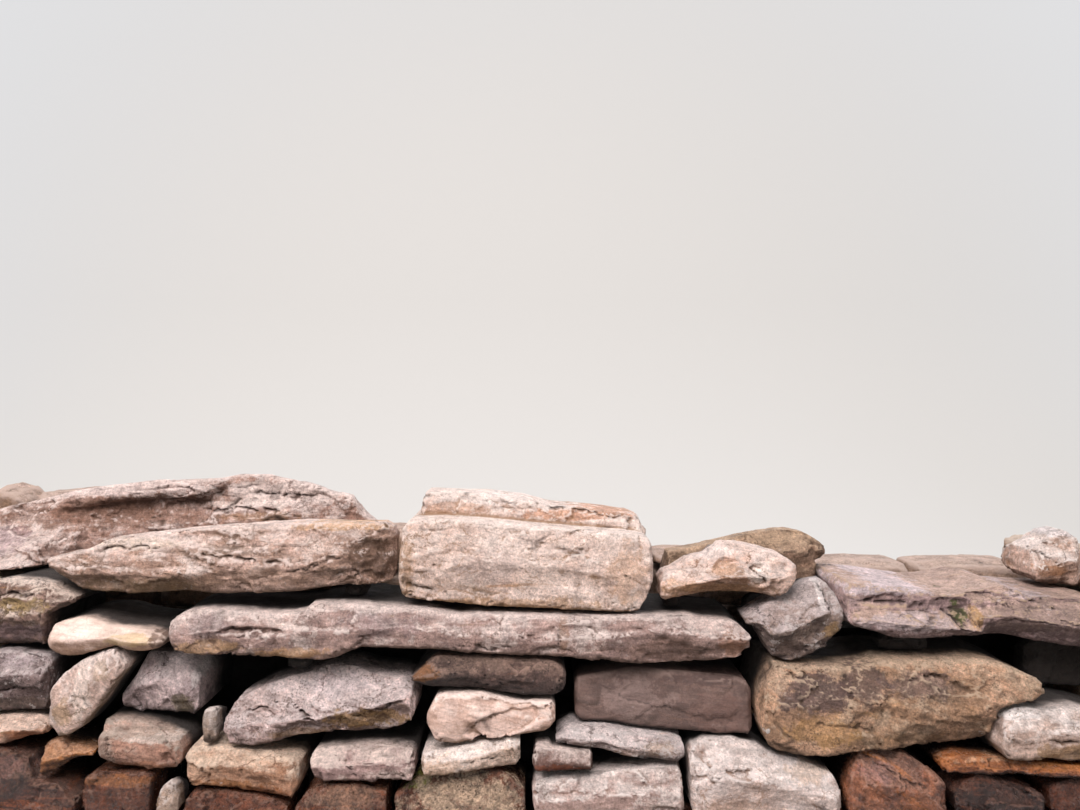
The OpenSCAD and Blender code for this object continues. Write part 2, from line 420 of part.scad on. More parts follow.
module footing_stones() {
    color("#8d8377") {
        for (s = [f1, f2, f3, f4, f5, f6])
            stone(s, 0, wall_d, core_front);
        for (s = g0)
            back_stone(s, 0, wall_d, core_back);
    }
}

module water_course_stones() {
    color("#7d6f6a") {
        for (s = [e1, e4, e6, e8])
            stone(s, 0, mid_reach, core_front);
        for (s = [e2, e5, e7, e9])
            stone(s, 0, long_reach, core_front);
    }
}

module hearting() {
    color("#6f675e")
        translate([inner_l, core_a, 0])
            cube([inner_r - inner_l, core_b - core_a, core_top]);
}

module pinning_stones() {
    color("#b8ab9c") {
        stone(p1, 0, pin_reach, core_front);
        stone(p2, 0, pin_reach, core_front);
        for (s = [p3, p4, p5, p8])
            stone(s, pin_set, pin_reach, core_front);
        stone(p6, deep_pin_set, pin_reach, core_front);
        stone(p7, short_reach + joint, short_reach, core_front);
    }
}

module edge_ledge_stone() { color("#b89a7c") stone(d1, 0, mid_reach, core_front); }
module orange_wet_stone() { color("#8a5228") stone(d2, 0, short_reach, core_front); }
module flat_topped_stone() {
    color("#b39c88")
        union() {
            stone(d3, 0, mid_reach, core_front);
            stone(d3_top, 2 * proud, mid_reach - 3 * proud, core_front);
        }
}
module split_slab() { color("#a07a56") stone(d4, 0, long_reach, core_front); }
module low_pink_slab() { color("#b09482") stone(d5, 0, mid_reach, core_front); }
module pale_wedge_stone() { color("#cdbba6") stone(d6, 0, long_reach, core_front); }
module small_pink_stone() { color("#b09482") stone(d7, 0, short_reach, core_front); }
module tilted_grey_slab() { color("#b5aca2") stone(d8, 0, short_reach, core_front); }
module pale_bed_block() { color("#cdbba6") stone(d9, 0, long_reach, core_front); }
module pale_corner_block() { color("#d0c0ac") stone(d10, 0, long_reach, core_front); }
module rusty_block() { color("#8a5228") stone(d11, 0, long_reach, core_front); }
module thin_rusty_slab() { color("#8a5a35") stone(d12, 0, mid_reach, core_front); }
module rusty_bed_slabs() {
    color("#84614a") {
        stone(d13, 0, long_reach, core_front);
        stone(d14, proud, mid_reach, core_front);
    }
}

module left_ledge_block() { color("#8a7d78") stone(c1, 0, mid_reach, core_front); }
module leaning_pale_stone() { color("#cdb9a5") stone(c2, -proud, short_reach, core_front); }
module grey_block() { color("#857a78") stone(c3, sunken, mid_reach, core_front); }
module ridged_boulder() { color("#a58d7c") stone(c5, 0, mid_reach, core_front); }
module dark_flat_stone() { color("#6b5448") stone(c6, 0, mid_reach, core_front); }
module pink_block() { color("#c9a58c") stone(c7, 0, mid_reach, core_front); }
module smooth_deep_stone() { color("#8d7a70") stone(c8, sunken, mid_reach, core_front); }
module ochre_block() { color("#9a7a55") stone(c9, -proud, long_reach, core_front); }
module white_edge_stone() { color("#d8cfc4") stone(c10, -2 * proud, mid_reach, core_front); }

module left_stub_stone() { color("#8d807b") stone(b1, 0, long_reach, core_front); }
module smooth_pale_stone() { color("#cbb9a6") stone(b2, 0, mid_reach, core_front); }
module long_slab() { color("#a89080") stone(b3, -proud, long_reach, core_front); }
module grey_knob_stone() { color("#96877d") stone(b4, 0, short_reach, core_front); }

module left_back_boulder() {
    color("#a58f82")
        union() {
            stone(a2, short_reach + joint, cope_reach, cope_limit);
            stone(a2_rim, short_reach + joint, cope_reach, cope_limit - proud);
            stone(a2_ledge, short_reach + joint, cope_reach, cope_limit - 2 * proud);
        }
}
module left_lens_slab() { color("#a98c76") stone(a3, 0, short_reach, cope_limit); }
module cap_block() {
    color("#c8ac94")
        union() {
            stone(a4, 0, cope_reach, cope_limit);
            stone(a4_top, cap_step, cope_reach, cope_limit - proud);
        }
}
module low_ochre_stone() { color("#a58b66") stone(a5, short_reach + joint, cope_reach, cope_limit); }
module angular_stone() { color("#a8896c") stone(a6, 0, short_reach, core_front); }
module right_slab() {
    color("#9a8776")
        union() {
            stone(a9, 0, cope_reach, cope_limit);
            stone(a9_ledge, -proud, short_reach, core_front);
        }
}
module right_top_block() { color("#b3a08c") stone(a8, top_block_set, short_reach, cope_limit); }

module left_end_stones() {
    color("#9c8d80")
        wall_head(left_heads);
}
module right_end_stones() {
    color("#9c8d80")
        wall_head(right_heads);
}
module back_face_stones() {
    color("#a08f80") {
        for (g = [g1, g2, g3], j = [0 : len(g) - 1])
            back_stone(g[j], proud * jump(j + g[j][0][2]), back_reach, core_back);
        for (g = [g4, g5], j = [0 : len(g) - 1])
            back_stone(g[j], proud * jump(j + g[j][0][2]), back_reach, cope_split + joint);
    }
}
module back_cope_stones() {
    color("#a3917f") {
        for (j = [0 : len(g6) - 1])
            back_stone(g6[j], 2 * proud * jump(j), back_cope_reach, cope_split + joint);
        back_stone(corner_stone, proud, back_cope_reach, cope_split + joint);
    }
}

footing_stones();
water_course_stones();
hearting();
pinning_stones();
edge_ledge_stone();
orange_wet_stone();
flat_topped_stone();
split_slab();
low_pink_slab();
pale_wedge_stone();
small_pink_stone();
tilted_grey_slab();
pale_bed_block();
pale_corner_block();
rusty_block();
thin_rusty_slab();
rusty_bed_slabs();
left_ledge_block();
leaning_pale_stone();
grey_block();
ridged_boulder();
dark_flat_stone();
pink_block();
smooth_deep_stone();
ochre_block();
white_edge_stone();
left_stub_stone();
smooth_pale_stone();
long_slab();
grey_knob_stone();
left_back_boulder();
left_lens_slab();
cap_block();
low_ochre_stone();
angular_stone();
right_slab();
right_top_block();
left_end_stones();
right_end_stones();
back_face_stones();
back_cope_stones();
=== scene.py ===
"""Dry stone wall: every stone weathered, split and stained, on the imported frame."""

import math

import bpy
import numpy as np
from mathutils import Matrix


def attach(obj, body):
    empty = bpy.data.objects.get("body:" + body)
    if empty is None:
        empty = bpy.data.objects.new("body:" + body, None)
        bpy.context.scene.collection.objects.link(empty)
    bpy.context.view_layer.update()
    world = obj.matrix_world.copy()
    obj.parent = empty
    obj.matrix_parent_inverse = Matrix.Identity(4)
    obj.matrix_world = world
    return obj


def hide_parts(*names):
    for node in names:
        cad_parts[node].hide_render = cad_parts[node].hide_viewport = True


bl_info = {
    "name": "Dry stone wall",
    "version": (1, 0, 0),
    "blender": (4, 5, 0),
    "location": "3D View > Sidebar > Wall",
    "description": "Weathers the stones of a dry stone wall and sets its stage",
    "category": "Object",
}

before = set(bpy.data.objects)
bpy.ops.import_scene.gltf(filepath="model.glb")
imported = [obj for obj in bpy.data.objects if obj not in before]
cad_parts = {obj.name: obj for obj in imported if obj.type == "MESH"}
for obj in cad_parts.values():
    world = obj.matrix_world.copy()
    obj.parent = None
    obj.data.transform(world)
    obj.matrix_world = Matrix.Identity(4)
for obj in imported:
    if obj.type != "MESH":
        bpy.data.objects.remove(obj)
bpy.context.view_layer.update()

# The kinds of stone in the wall. Colours are sRGB: the fresh face, its second tint, its iron
# stain, the painted highlight on the upper side (also the pale blotches where none are given),
# and the painted shade on the underside (also the colour of the pits and hair cracks).
# lichen and iron_part run from 0 to 1; gloss is the roughness of the surface; grit is how coarse
# the grain shows, 1 for the common sandstone.
KINDS = {
    "cream": dict(face="#dcc6ba", tint="#c3a793", iron="#bf9066", top="#f0e6e0", under="#7d5f48",
        lichen=0.3, iron_part=0.3, gloss=0.85, grit=1.0),
    "pink": dict(face="#b8998c", tint="#977869", iron="#a9794f", top="#e0d0c8", under="#5a4134",
        lichen=0.35, iron_part=0.3, gloss=0.85, grit=1.0),
    "ochre": dict(face="#ae8c68", tint="#8a6c4c", iron="#b98548", top="#d3bd9c", under="#4a3726",
        lichen=0.2, iron_part=0.5, gloss=0.8, grit=1.1),
    "grey": dict(face="#8f7f7d", tint="#756462", iron="#8a6c58", top="#c8bcba", under="#453836",
        lichen=0.8, iron_part=0.12, gloss=0.88, grit=1.15),
    "rust": dict(face="#84532f", tint="#603a28", iron="#b3702c", top="#b58d70", under="#2c1b14",
        lichen=0.05, iron_part=0.6, gloss=0.34, grit=0.9),
    "dark": dict(face="#66483e", tint="#4a322c", iron="#85522f", top="#9a8072", under="#241916",
        lichen=0.2, iron_part=0.3, gloss=0.5, grit=1.0),
    "plain": dict(face="#ab9484", tint="#8d7462", iron="#9c744c", top="#cdbcac", under="#4c3c30",
        lichen=0.4, iron_part=0.3, gloss=0.86, grit=1.0),
}

# Each node's stones: their kind, and in tone what differs from it. tilt is the slope of the beds in
# degrees. In mm, bed is their thickness and how far they step back, rough the depth of the broad
# hollows, splits that of the natural cracks, flakes that of the scales that have come off, facet
# that of broken planes and chips that of bites out of the arrises.
# hollows are (x, z), half sizes, a turn, a depth and how crisp the lip is. cracks run from (x, z)
# to (x, z) with a width and depth. stains are (x, z), half sizes, a colour and a strength.
# hidden marks the stones that the front doesn't show, which are modelled more coarsely. shown is how
# much of a stone, from its face inwards, keeps all its detail. A pair in mm gives where the painted
# shade of the joint begins and ends behind the face of the wall. ends is how much an end that looks
# away from the middle of the wall weathers against its face, and inner_ends one that looks towards
# it. soften is how often the corners of the solid are eased before it weathers.
# In tone, bloom is the colour of its pale blotches and lines how strongly its beds show as lines;
# one more number sets how much of the painted highlight its upper side takes.
USUAL = dict(facet=8, flakes=4, chips=7, ends=0.3, inner_ends=0.3, soften=1, shown=65, joint_shade=(22, 62),
    hollows=[], cracks=[], stains=[], tone={}, hidden=False)
HIDDEN = dict(chips=0, shown=None)
STONES = {
    "left_back_boulder": dict(kind="pink", tilt=4, bed=(22, 3), rough=8, splits=3, flakes=5,
        shown=190, joint_shade=(400, 500), soften=9,
        tone=dict(face="#ad8e81", tint="#8f6e5f", top="#e2d2cb"),
        cracks=[(-660, 664, -540, 676, 4, 7), (-650, 706, -470, 700, 4, 8),
            (-560, 736, -420, 724, 3, 6)],
        stains=[(-830, 690, 230, 26, "#8d6a58", 0.6), (-1030, 650, 90, 30, "#8b7078", 0.5),
            (-830, 742, 230, 14, "#d8c6c0", 0.75), (-470, 735, 160, 26, "#d9c9c2", 0.7),
            (-560, 712, 90, 7, "#dccbc2", 0.7), (-530, 690, 80, 8, "#9b7450", 0.55)]),
    "left_lens_slab": dict(kind="pink", tilt=-4, bed=(18, 3), rough=6, splits=3, flakes=5,
        shown=120, joint_shade=(80, 150),
        tone=dict(face="#c8aa9c", tint="#aa8b7a", iron="#ad8158", under="#6b5442"),
        hollows=[(-700, 612, 120, 24, 6, 9, 0.3), (-560, 668, 110, 14, -5, 6, 0.5),
            (-300, 640, 46, 34, 30, 12, 0.5)],
        cracks=[(-770, 652, -640, 660, 3, 6), (-600, 646, -430, 632, 4, 8),
            (-430, 618, -320, 646, 4, 6)],
        # painted shadow: the dark stain at (-690, 592) lies along the shaded underside, and the one at
        # (-290, 630) on the shaded right end
        stains=[(-700, 660, 70, 10, "#dccbbb", 0.65), (-690, 592, 120, 14, "#6a5436", 0.6),
            (-290, 630, 36, 40, "#5f4636", 0.75), (-340, 690, 90, 7, "#c9a074", 0.6),
            (-560, 650, 90, 8, "#6d5540", 0.5), (-480, 605, 110, 16, "#bb9a86", 0.5)]),
    "cap_block": dict(kind="cream", tilt=-3, bed=(26, 2), rough=5, splits=2,
        shown=180, joint_shade=(400, 500),
        tone=dict(face="#e2cdc2", tint="#d3baad", top="#e9dbd2", under="#94714f", lines=0.1),
        hollows=[(-160, 640, 60, 16, 8, 4, 0.6), (60, 600, 90, 20, -10, 4, 0.5)],
        cracks=[(-236, 598, -170, 582, 4, 5), (20, 660, 90, 655, 3, 4), (-20, 725, 160, 694, 4, 7)],
        stains=[(-230, 620, 16, 60, "#b48e6a", 0.55), (-60, 562, 150, 12, "#b9926c", 0.6),
            (70, 703, 110, 10, "#bd835c", 0.7), (-110, 728, 90, 10, "#efe4de", 0.6),
            (150, 610, 30, 50, "#bb9678", 0.5), (-90, 625, 60, 30, "#b8a49c", 0.5),
            (-150, 714, 60, 10, "#ad8264", 0.6)]),
    "low_ochre_stone": dict(kind="ochre", tilt=6, bed=(16, 2), rough=6, splits=2,
        shown=190, joint_shade=(400, 500),
        tone=dict(face="#8e725e", tint="#705745", iron="#987856", top="#bfa48a"),
        stains=[(440, 650, 60, 14, "#b89c80", 0.5), (300, 605, 60, 20, "#80674e", 0.5)]),
    "angular_stone": dict(kind="pink", tilt=-8, bed=(24, 2), rough=5, splits=2,
        shown=120, joint_shade=(80, 150),
        tone=dict(face="#ebccbc", tint="#d3ae9a", iron="#b98c64", under="#855f42"),
        hollows=[(318, 622, 30, 16, 20, 8, 0.5), (372, 612, 22, 20, -30, 7, 0.7)],
        cracks=[(350, 634, 384, 596, 3, 6)],
        # painted light: the pale stain at (372, 612) is a painted highlight on a lit facet, and the one at
        # (310, 588) painted shadow on the underside
        stains=[(318, 620, 30, 12, "#ad8058", 0.6), (372, 612, 22, 18, "#efe0d6", 0.85),
            (310, 588, 100, 9, "#8d6844", 0.6), (235, 590, 30, 12, "#c59a72", 0.5),
            (300, 645, 40, 10, "#e6d6cf", 0.7)]),
    "right_slab": dict(kind="pink", tilt=0, bed=(14, 3), rough=6, splits=3, flakes=5,
        shown=320, joint_shade=(400, 500),
        tone=dict(face="#c2a5a1", tint="#a48a88", iron="#a0795a", top="#c4aa90", bloom="#ceb7b5", highlight_share=0.45,
            under="#4a3836"),
        hollows=[(590, 568, 50, 12, 0, 8, 0.5), (700, 560, 40, 14, 0, 7, 0.5),
            (800, 560, 60, 10, 0, 5, 0.5)],
        cracks=[(540, 566, 660, 560, 4, 7), (680, 548, 730, 520, 4, 8), (760, 560, 900, 548, 3, 5),
            (770, 540, 940, 530, 3, 5)],
        stains=[(620, 534, 90, 15, "#cdbcbc", 0.7), (712, 548, 11, 22, "#4a5222", 0.95),
            (738, 540, 12, 18, "#b58c50", 0.7), (840, 545, 90, 26, "#857069", 0.6),
            (600, 584, 100, 9, "#d6c8cc", 0.75), (860, 575, 80, 8, "#c9b9ba", 0.6)]),
    "right_top_block": dict(kind="cream", tilt=10, bed=(30, 2), rough=6, splits=2,
        shown=150, joint_shade=(400, 500),
        tone=dict(face="#c8aa9a", tint="#ab8a76", iron="#b07a4c", under="#5c4434"),
        cracks=[(905, 640, 950, 600, 3, 5)],
        stains=[(945, 664, 30, 8, "#ddd4d2", 0.8), (925, 600, 24, 12, "#a97850", 0.6)]),
    "left_stub_stone": dict(kind="ochre", tilt=-3, bed=(22, 4), rough=7, splits=2, flakes=5,
        tone=dict(face="#94786c", tint="#745b4f", top="#dccabc", under="#45342c"),
        hollows=[(-900, 560, 46, 16, 0, 9, 0.4)],
        cracks=[(-930, 574, -850, 578, 4, 8)],
        stains=[(-890, 560, 60, 14, "#a48c58", 0.65), (-880, 600, 60, 8, "#dccdc2", 0.7),
            (-880, 515, 60, 14, "#6e5a60", 0.5)]),
    "smooth_pale_stone": dict(kind="cream", tilt=-5, bed=(40, 1), rough=2, splits=0, flakes=1, chips=2,
        facet=2, joint_shade=(20, 50),
        tone=dict(face="#c2a89b", tint="#b39788", top="#ccbaae", grit=0.4, lichen=0.05),
        stains=[(-780, 520, 34, 16, "#dfcac0", 0.6), (-690, 505, 40, 10, "#b49c6c", 0.5),
            (-640, 508, 14, 18, "#5e4638", 0.8)]),
    "long_slab": dict(kind="pink", tilt=1, bed=(24, 2), rough=4, splits=1.5, flakes=3,
        tone=dict(face="#b1958c", tint="#957c75", iron="#ab8a62", top="#e2d4cd", under="#5f483c"),
        hollows=[(-480, 520, 70, 8, 0, 7, 0.5), (-560, 508, 40, 14, 0, 5, 0.3),
            (200, 492, 80, 26, -24, 5, 0.8), (60, 520, 70, 10, 0, 4, 0.6)],
        cracks=[(-540, 522, -430, 524, 4, 6), (-520, 512, -440, 509, 3, 5), (-150, 500, -60, 492, 3, 4),
            (30, 480, 34, 530, 2, 3)],
        stains=[(-560, 494, 60, 12, "#b8946a", 0.6), (-410, 484, 60, 10, "#b0885a", 0.6),
            (215, 488, 70, 26, "#7d6358", 0.75), (322, 500, 26, 22, "#946a50", 0.65),
            (300, 534, 44, 7, "#dcc8c0", 0.7), (-560, 530, 40, 18, "#8d7c7c", 0.5),
            (-270, 530, 60, 20, "#8c787a", 0.4), (-480, 522, 60, 5, "#6b4c42", 0.6),
            (40, 515, 8, 30, "#8e6a48", 0.4)]),
    "grey_knob_stone": dict(kind="grey", tilt=12, bed=(30, 2), rough=7, splits=2,
        joint_shade=(56, 110),
        tone=dict(face="#a89288", tint="#8b776c", iron="#a8865e"),
        hollows=[(450, 520, 34, 26, 20, 9, 0.5)],
        cracks=[(478, 596, 490, 548, 3, 5)],
        stains=[(478, 578, 6, 24, "#e9e0dc", 0.85), (492, 520, 14, 16, "#a9875a", 0.7),
            (410, 545, 30, 14, "#a8948c", 0.5), (430, 490, 30, 16, "#6f5c54", 0.6)]),
    "left_ledge_block": dict(kind="grey", tilt=-4, bed=(30, 3), rough=6, splits=1,
        tone=dict(face="#86726f", tint="#695653"),
        cracks=[(-930, 424, -850, 418, 4, 9)],
        stains=[(-890, 470, 60, 10, "#a8989a", 0.5), (-880, 398, 60, 12, "#5c4c40", 0.6)]),
    "leaning_pale_stone": dict(kind="cream", tilt=-55, bed=(24, 2), rough=4, splits=1, flakes=3,
        tone=dict(face="#d9c1b6", tint="#c4a99c", top="#eaddd6", under="#6f5a40"),
        stains=[(-760, 430, 14, 50, "#eadcd2", 0.5), (-790, 390, 14, 24, "#ae8f68", 0.5),
            (-730, 460, 16, 20, "#ae9a80", 0.4)]),
    "grey_block": dict(kind="grey", tilt=-70, bed=(30, 1), rough=5, splits=1, flakes=3,
        joint_shade=(100, 170),
        tone=dict(face="#ccb8b6", tint="#ae9a99", lichen=0.5),
        stains=[(-592, 440, 8, 22, "#d5cbc8", 0.85), (-612, 388, 22, 16, "#6c6242", 0.6),
            (-650, 468, 40, 6, "#a99c9c", 0.5)]),
    "ridged_boulder": dict(kind="pink", tilt=-14, bed=(30, 2), rough=9, splits=2, flakes=6,
        facet=8, shown=100, joint_shade=(90, 140),
        tone=dict(face="#d0b8b3", tint="#b39c97", iron="#a5825a", top="#d9ccc9", grit=1.2),
        hollows=[(-470, 372, 34, 20, 30, 10, 0.4), (-400, 364, 40, 14, 10, 8, 0.4),
            (-290, 384, 60, 14, -20, 7, 0.5)],
        cracks=[(-500, 380, -430, 400, 4, 8), (-420, 398, -350, 360, 4, 9), (-340, 372, -230, 404, 4, 7)],
        stains=[(-290, 374, 64, 18, "#a5814f", 0.8), (-400, 352, 60, 8, "#9a7650", 0.6),
            (-350, 425, 60, 16, "#cfc2c3", 0.5), (-470, 395, 40, 26, "#b8a098", 0.4)]),
    "dark_flat_stone": dict(kind="dark", tilt=2, bed=(20, 3), rough=6, splits=2,
        tone=dict(face="#5d463f", tint="#463530", gloss=0.7, grit=1.2),
        stains=[(-190, 450, 20, 14, "#8d5c30", 0.7), (-80, 430, 50, 10, "#3a2a28", 0.5)]),
    "pink_block": dict(kind="cream", tilt=-12, bed=(50, 1), rough=5, splits=0, flakes=1, facet=7,
        tone=dict(face="#ceb4a8", tint="#bd9f90", top="#dfcfc6", grit=0.5, lichen=0.05),
        hollows=[(-60, 372, 70, 20, 14, 7, 0.8)],
        cracks=[(-130, 356, -60, 392, 2, 2)]),
    "smooth_deep_stone": dict(kind="dark", tilt=-6, bed=(60, 1), rough=4, splits=0, flakes=0.5, chips=3,
        facet=5, joint_shade=(60, 130),
        tone=dict(face="#644f48", tint="#56433d", iron="#7b5a46", top="#7f6b63", gloss=0.6, grit=0.4,
            lichen=0.0),
        stains=[(160, 400, 60, 30, "#84706a", 0.5), (300, 380, 50, 40, "#624840", 0.5),
            (280, 432, 60, 10, "#463430", 0.7)]),
    "ochre_block": dict(kind="ochre", tilt=-20, bed=(30, 3), rough=8, splits=2, flakes=5, facet=7,
        joint_shade=(48, 96),
        tone=dict(face="#c9a184", tint="#a78468", iron="#c49562", top="#cdb59c", under="#66503e",
            grit=1.25),
        hollows=[(560, 380, 60, 26, 10, 8, 0.4), (680, 400, 50, 24, -10, 7, 0.4),
            (480, 390, 40, 26, 20, 7, 0.4)],
        cracks=[(400, 444, 470, 450, 3, 6), (600, 440, 690, 448, 3, 5)],
        stains=[(460, 420, 60, 30, "#64504c", 0.9), (545, 432, 44, 26, "#5f4a44", 0.85),
            (640, 430, 60, 20, "#75605a", 0.75), (392, 440, 24, 18, "#c0a48c", 0.6),
            (376, 362, 5, 4, "#f4ece8", 1.0), (720, 420, 30, 30, "#8d6c50", 0.5),
            (560, 345, 120, 12, "#6d5030", 0.5), (470, 360, 60, 24, "#bb9058", 0.5)]),
    "white_edge_stone": dict(kind="cream", tilt=3, bed=(20, 3), rough=6, splits=1,
        tone=dict(face="#c3a99b", tint="#aa8872", top="#efe6e1", under="#7d5f46"),
        cracks=[(830, 352, 930, 344, 4, 8)],
        stains=[(800, 390, 40, 12, "#f6efeb", 0.8), (880, 330, 70, 14, "#b08c62", 0.6)]),
    "edge_ledge_stone": dict(kind="ochre", tilt=-4, bed=(20, 3), rough=5, splits=1,
        joint_shade=(56, 100), tone=dict(face="#ebc3ac", tint="#cea186", top="#e0ccbe", under="#6a3f28"),
        stains=[(-860, 352, 40, 8, "#9c5c34", 0.6)]),
    "orange_wet_stone": dict(kind="rust", tilt=-20, bed=(24, 3), rough=6, splits=2,
        tone=dict(face="#a26b3d", tint="#7d4d2e", iron="#c4822f", gloss=0.2, grit=1.3, lichen=0.0)),
    "flat_topped_stone": dict(kind="pink", tilt=-6, bed=(24, 2), rough=5, splits=1, joint_shade=(32, 66),
        tone=dict(face="#c4a191", tint="#a7806e", iron="#a46e44", top="#b0a296", under="#5f4032"),
        cracks=[(-718, 352, -712, 316, 3, 6)],
        stains=[(-660, 302, 60, 8, "#8a5838", 0.6), (-640, 345, 50, 6, "#dccdc2", 0.6)]),
    "split_slab": dict(kind="pink", tilt=-8, bed=(18, 2), rough=5, splits=2, joint_shade=(50, 96),
        tone=dict(face="#cca78d", tint="#ae8469", iron="#a36e3e", top="#dcc8b4", under="#6a4228"),
        cracks=[(-560, 268, -430, 262, 3, 6)],
        stains=[(-520, 270, 80, 12, "#96602f", 0.7), (-470, 262, 50, 10, "#8a5028", 0.6),
            (-500, 312, 60, 10, "#d0b6a0", 0.5)]),
    "low_pink_slab": dict(kind="pink", tilt=3, bed=(16, 2), rough=5, splits=1,
        tone=dict(face="#a98c87", tint="#8b6c66", top="#e0d0c6"),
        cracks=[(-330, 312, -290, 282, 2, 4)],
        stains=[(-300, 300, 60, 10, "#b89c96", 0.5)]),
    "pale_wedge_stone": dict(kind="cream", tilt=6, bed=(24, 2), rough=5, splits=0, joint_shade=(56, 100),
        tone=dict(face="#f3dbcb", tint="#ddc0ab", under="#7a5c40"),
        cracks=[(-130, 308, -60, 322, 2, 4)]),
    "small_pink_stone": dict(kind="pink", tilt=0, bed=(24, 2), rough=5, splits=0, flakes=3, joint_shade=(14, 45),
        tone=dict(face="#745951", tint="#5b3f36", iron="#8e4a2a", under="#4a2a20"),
        stains=[(40, 300, 40, 8, "#7c4228", 0.7)]),
    "tilted_grey_slab": dict(kind="grey", tilt=-10, bed=(20, 2), rough=5, splits=1, flakes=3,
        joint_shade=(64, 110),
        tone=dict(face="#decac6", tint="#c2aeaa", top="#dcd2cf", lichen=1.0, under="#5c4a44"),
        stains=[(110, 322, 60, 8, "#8b6c56", 0.5), (200, 330, 30, 12, "#b59a80", 0.5)]),
    "pale_bed_block": dict(kind="cream", tilt=6, bed=(30, 2), rough=5, splits=1, joint_shade=(36, 80),
        tone=dict(face="#c6aea6", tint="#ae938a")),
    "pale_corner_block": dict(kind="cream", tilt=-6, bed=(30, 2), rough=6, splits=1,
        joint_shade=(34, 70),
        tone=dict(face="#dac9c2", tint="#c6b0a6", top="#efe5e0", under="#9c7c66"),
        stains=[(330, 236, 70, 16, "#b89680", 0.5), (450, 290, 40, 16, "#c9ad94", 0.5)]),
    "rusty_block": dict(kind="rust", tilt=-32, bed=(14, 3), rough=6, splits=2,
        tone=dict(face="#8e5a3f", tint="#644134", iron="#c0742e", top="#a07a68", gloss=0.24, grit=1.5,
            lines=0.4, highlight_share=0.5, lichen=0.0),
        cracks=[(530, 320, 640, 262, 3, 6)],
        stains=[(560, 290, 30, 14, "#8d6c66", 0.6)]),
    "thin_rusty_slab": dict(kind="rust", tilt=-3, bed=(10, 2), rough=3, splits=1, flakes=3,
        tone=dict(face="#90542e", tint="#633822", top="#ae7248", gloss=0.22, grit=1.4, highlight_share=0.45,
            lichen=0.0),
        stains=[(800, 311, 120, 4, "#c09878", 0.6)]),
    "rusty_bed_slabs": dict(kind="dark", tilt=-6, bed=(18, 3), rough=6, splits=2,
        joint_shade=(60, 120),
        tone=dict(face="#3c211a", tint="#271511", iron="#6a3820", top="#5f4338", gloss=0.2, grit=1.9,
            lichen=0.0, iron_part=0.55, highlight_share=0.35)),
    "water_course_stones": dict(kind="dark", tilt=2, bed=(22, 3), rough=6, splits=2,
        shown=50, joint_shade=(60, 120),
        tone=dict(face="#43251c", tint="#2c1712", iron="#7a4020", top="#705446", gloss=0.2, grit=1.9,
            lichen=0.0, iron_part=0.6, highlight_share=0.35),
        stains=[(-215, 268, 40, 10, "#5c6426", 0.85), (-120, 250, 100, 34, "#a5907a", 0.8),
            (-320, 250, 60, 20, "#8a6f5c", 0.5), (-700, 280, 60, 8, "#8c5a34", 0.6),
            (-900, 300, 50, 20, "#7d5a50", 0.6)]),
    "pinning_stones": dict(kind="plain", tilt=5, bed=(20, 2), rough=3, splits=0, flakes=2,
        joint_shade=(34, 48), tone=dict(top="#d9cec8")),
    "footing_stones": dict(kind="plain", tilt=0, bed=(30, 3), rough=5, splits=1,
        hidden=True, ends=0, inner_ends=0),
    "left_end_stones": dict(kind="plain", tilt=2, bed=(26, 4), rough=7, splits=2, hidden=True,
        ends=1.0, inner_ends=0, joint_shade=(400, 500)),
    "right_end_stones": dict(kind="plain", tilt=-2, bed=(26, 4), rough=7, splits=2, hidden=True,
        ends=1.0, inner_ends=0, joint_shade=(400, 500)),
    "back_face_stones": dict(kind="plain", tilt=2, bed=(26, 4), rough=4, facet=5, splits=2,
        hidden=True, ends=0, inner_ends=0, joint_shade=(400, 500), tone=dict(top="#c3ada0")),
    "back_cope_stones": dict(kind="plain", tilt=-4, bed=(26, 4), rough=4, facet=5, splits=2,
        hidden=True, ends=0, inner_ends=0, joint_shade=(400, 500),
        tone=dict(face="#b1978a", tint="#967c6a", top="#c3ada0")),
    "hearting": dict(kind="dark", tilt=0, bed=(40, 4), rough=8, splits=0, hidden=True, shown=0),
}

COPE = ["left_back_boulder", "left_lens_slab", "cap_block", "low_ochre_stone", "angular_stone",
    "right_slab", "right_top_block"]
LONG_COURSE = ["left_stub_stone", "smooth_pale_stone", "long_slab", "grey_knob_stone"]
MIDDLE_COURSE = ["left_ledge_block", "leaning_pale_stone", "grey_block", "ridged_boulder",
    "dark_flat_stone", "pink_block", "smooth_deep_stone", "ochre_block", "white_edge_stone"]
LOWER_COURSES = ["edge_ledge_stone", "orange_wet_stone", "flat_topped_stone", "split_slab",
    "low_pink_slab", "pale_wedge_stone", "small_pink_stone", "tilted_grey_slab", "pale_bed_block",
    "pale_corner_block", "rusty_block", "thin_rusty_slab", "rusty_bed_slabs"]
WET_COURSE = ["water_course_stones"]
PINS = ["pinning_stones"]
FOOT = ["footing_stones"]
ENDS = ["left_end_stones", "right_end_stones"]
BACK = ["back_face_stones", "back_cope_stones"]
CORE = ["hearting"]
GROUPS = [*WET_COURSE, *PINS, *FOOT, *ENDS, *BACK, "rusty_bed_slabs"]

# The wall's faces stand this far from its middle at the foot and lean back this much a metre
HALF_FOOT = 0.28
BATTER = 0.125

# Patterns of the surfaces, in features a metre, each from the real size that its comment gives.
# Grains of sandstone are under a millimetre and don't show, so they are drawn coarser.
IRON_PATCHES = 5.5  # 180 mm
HAIR_CRACKED = 8  # areas with hair cracks, 125 mm
CLOUDS = 9  # clouds of the second tint, 110 mm
HAIR_CRACKS = 13.0  # 75 mm from one to the next
BLOOMS = 15  # pale blotches, 65 mm
SWARMS = 17  # swarms of pits, 60 mm
BENT = 20  # bends of the hair cracks, 50 mm
BED_LINES = 24  # 40 mm long and a seventh of that high
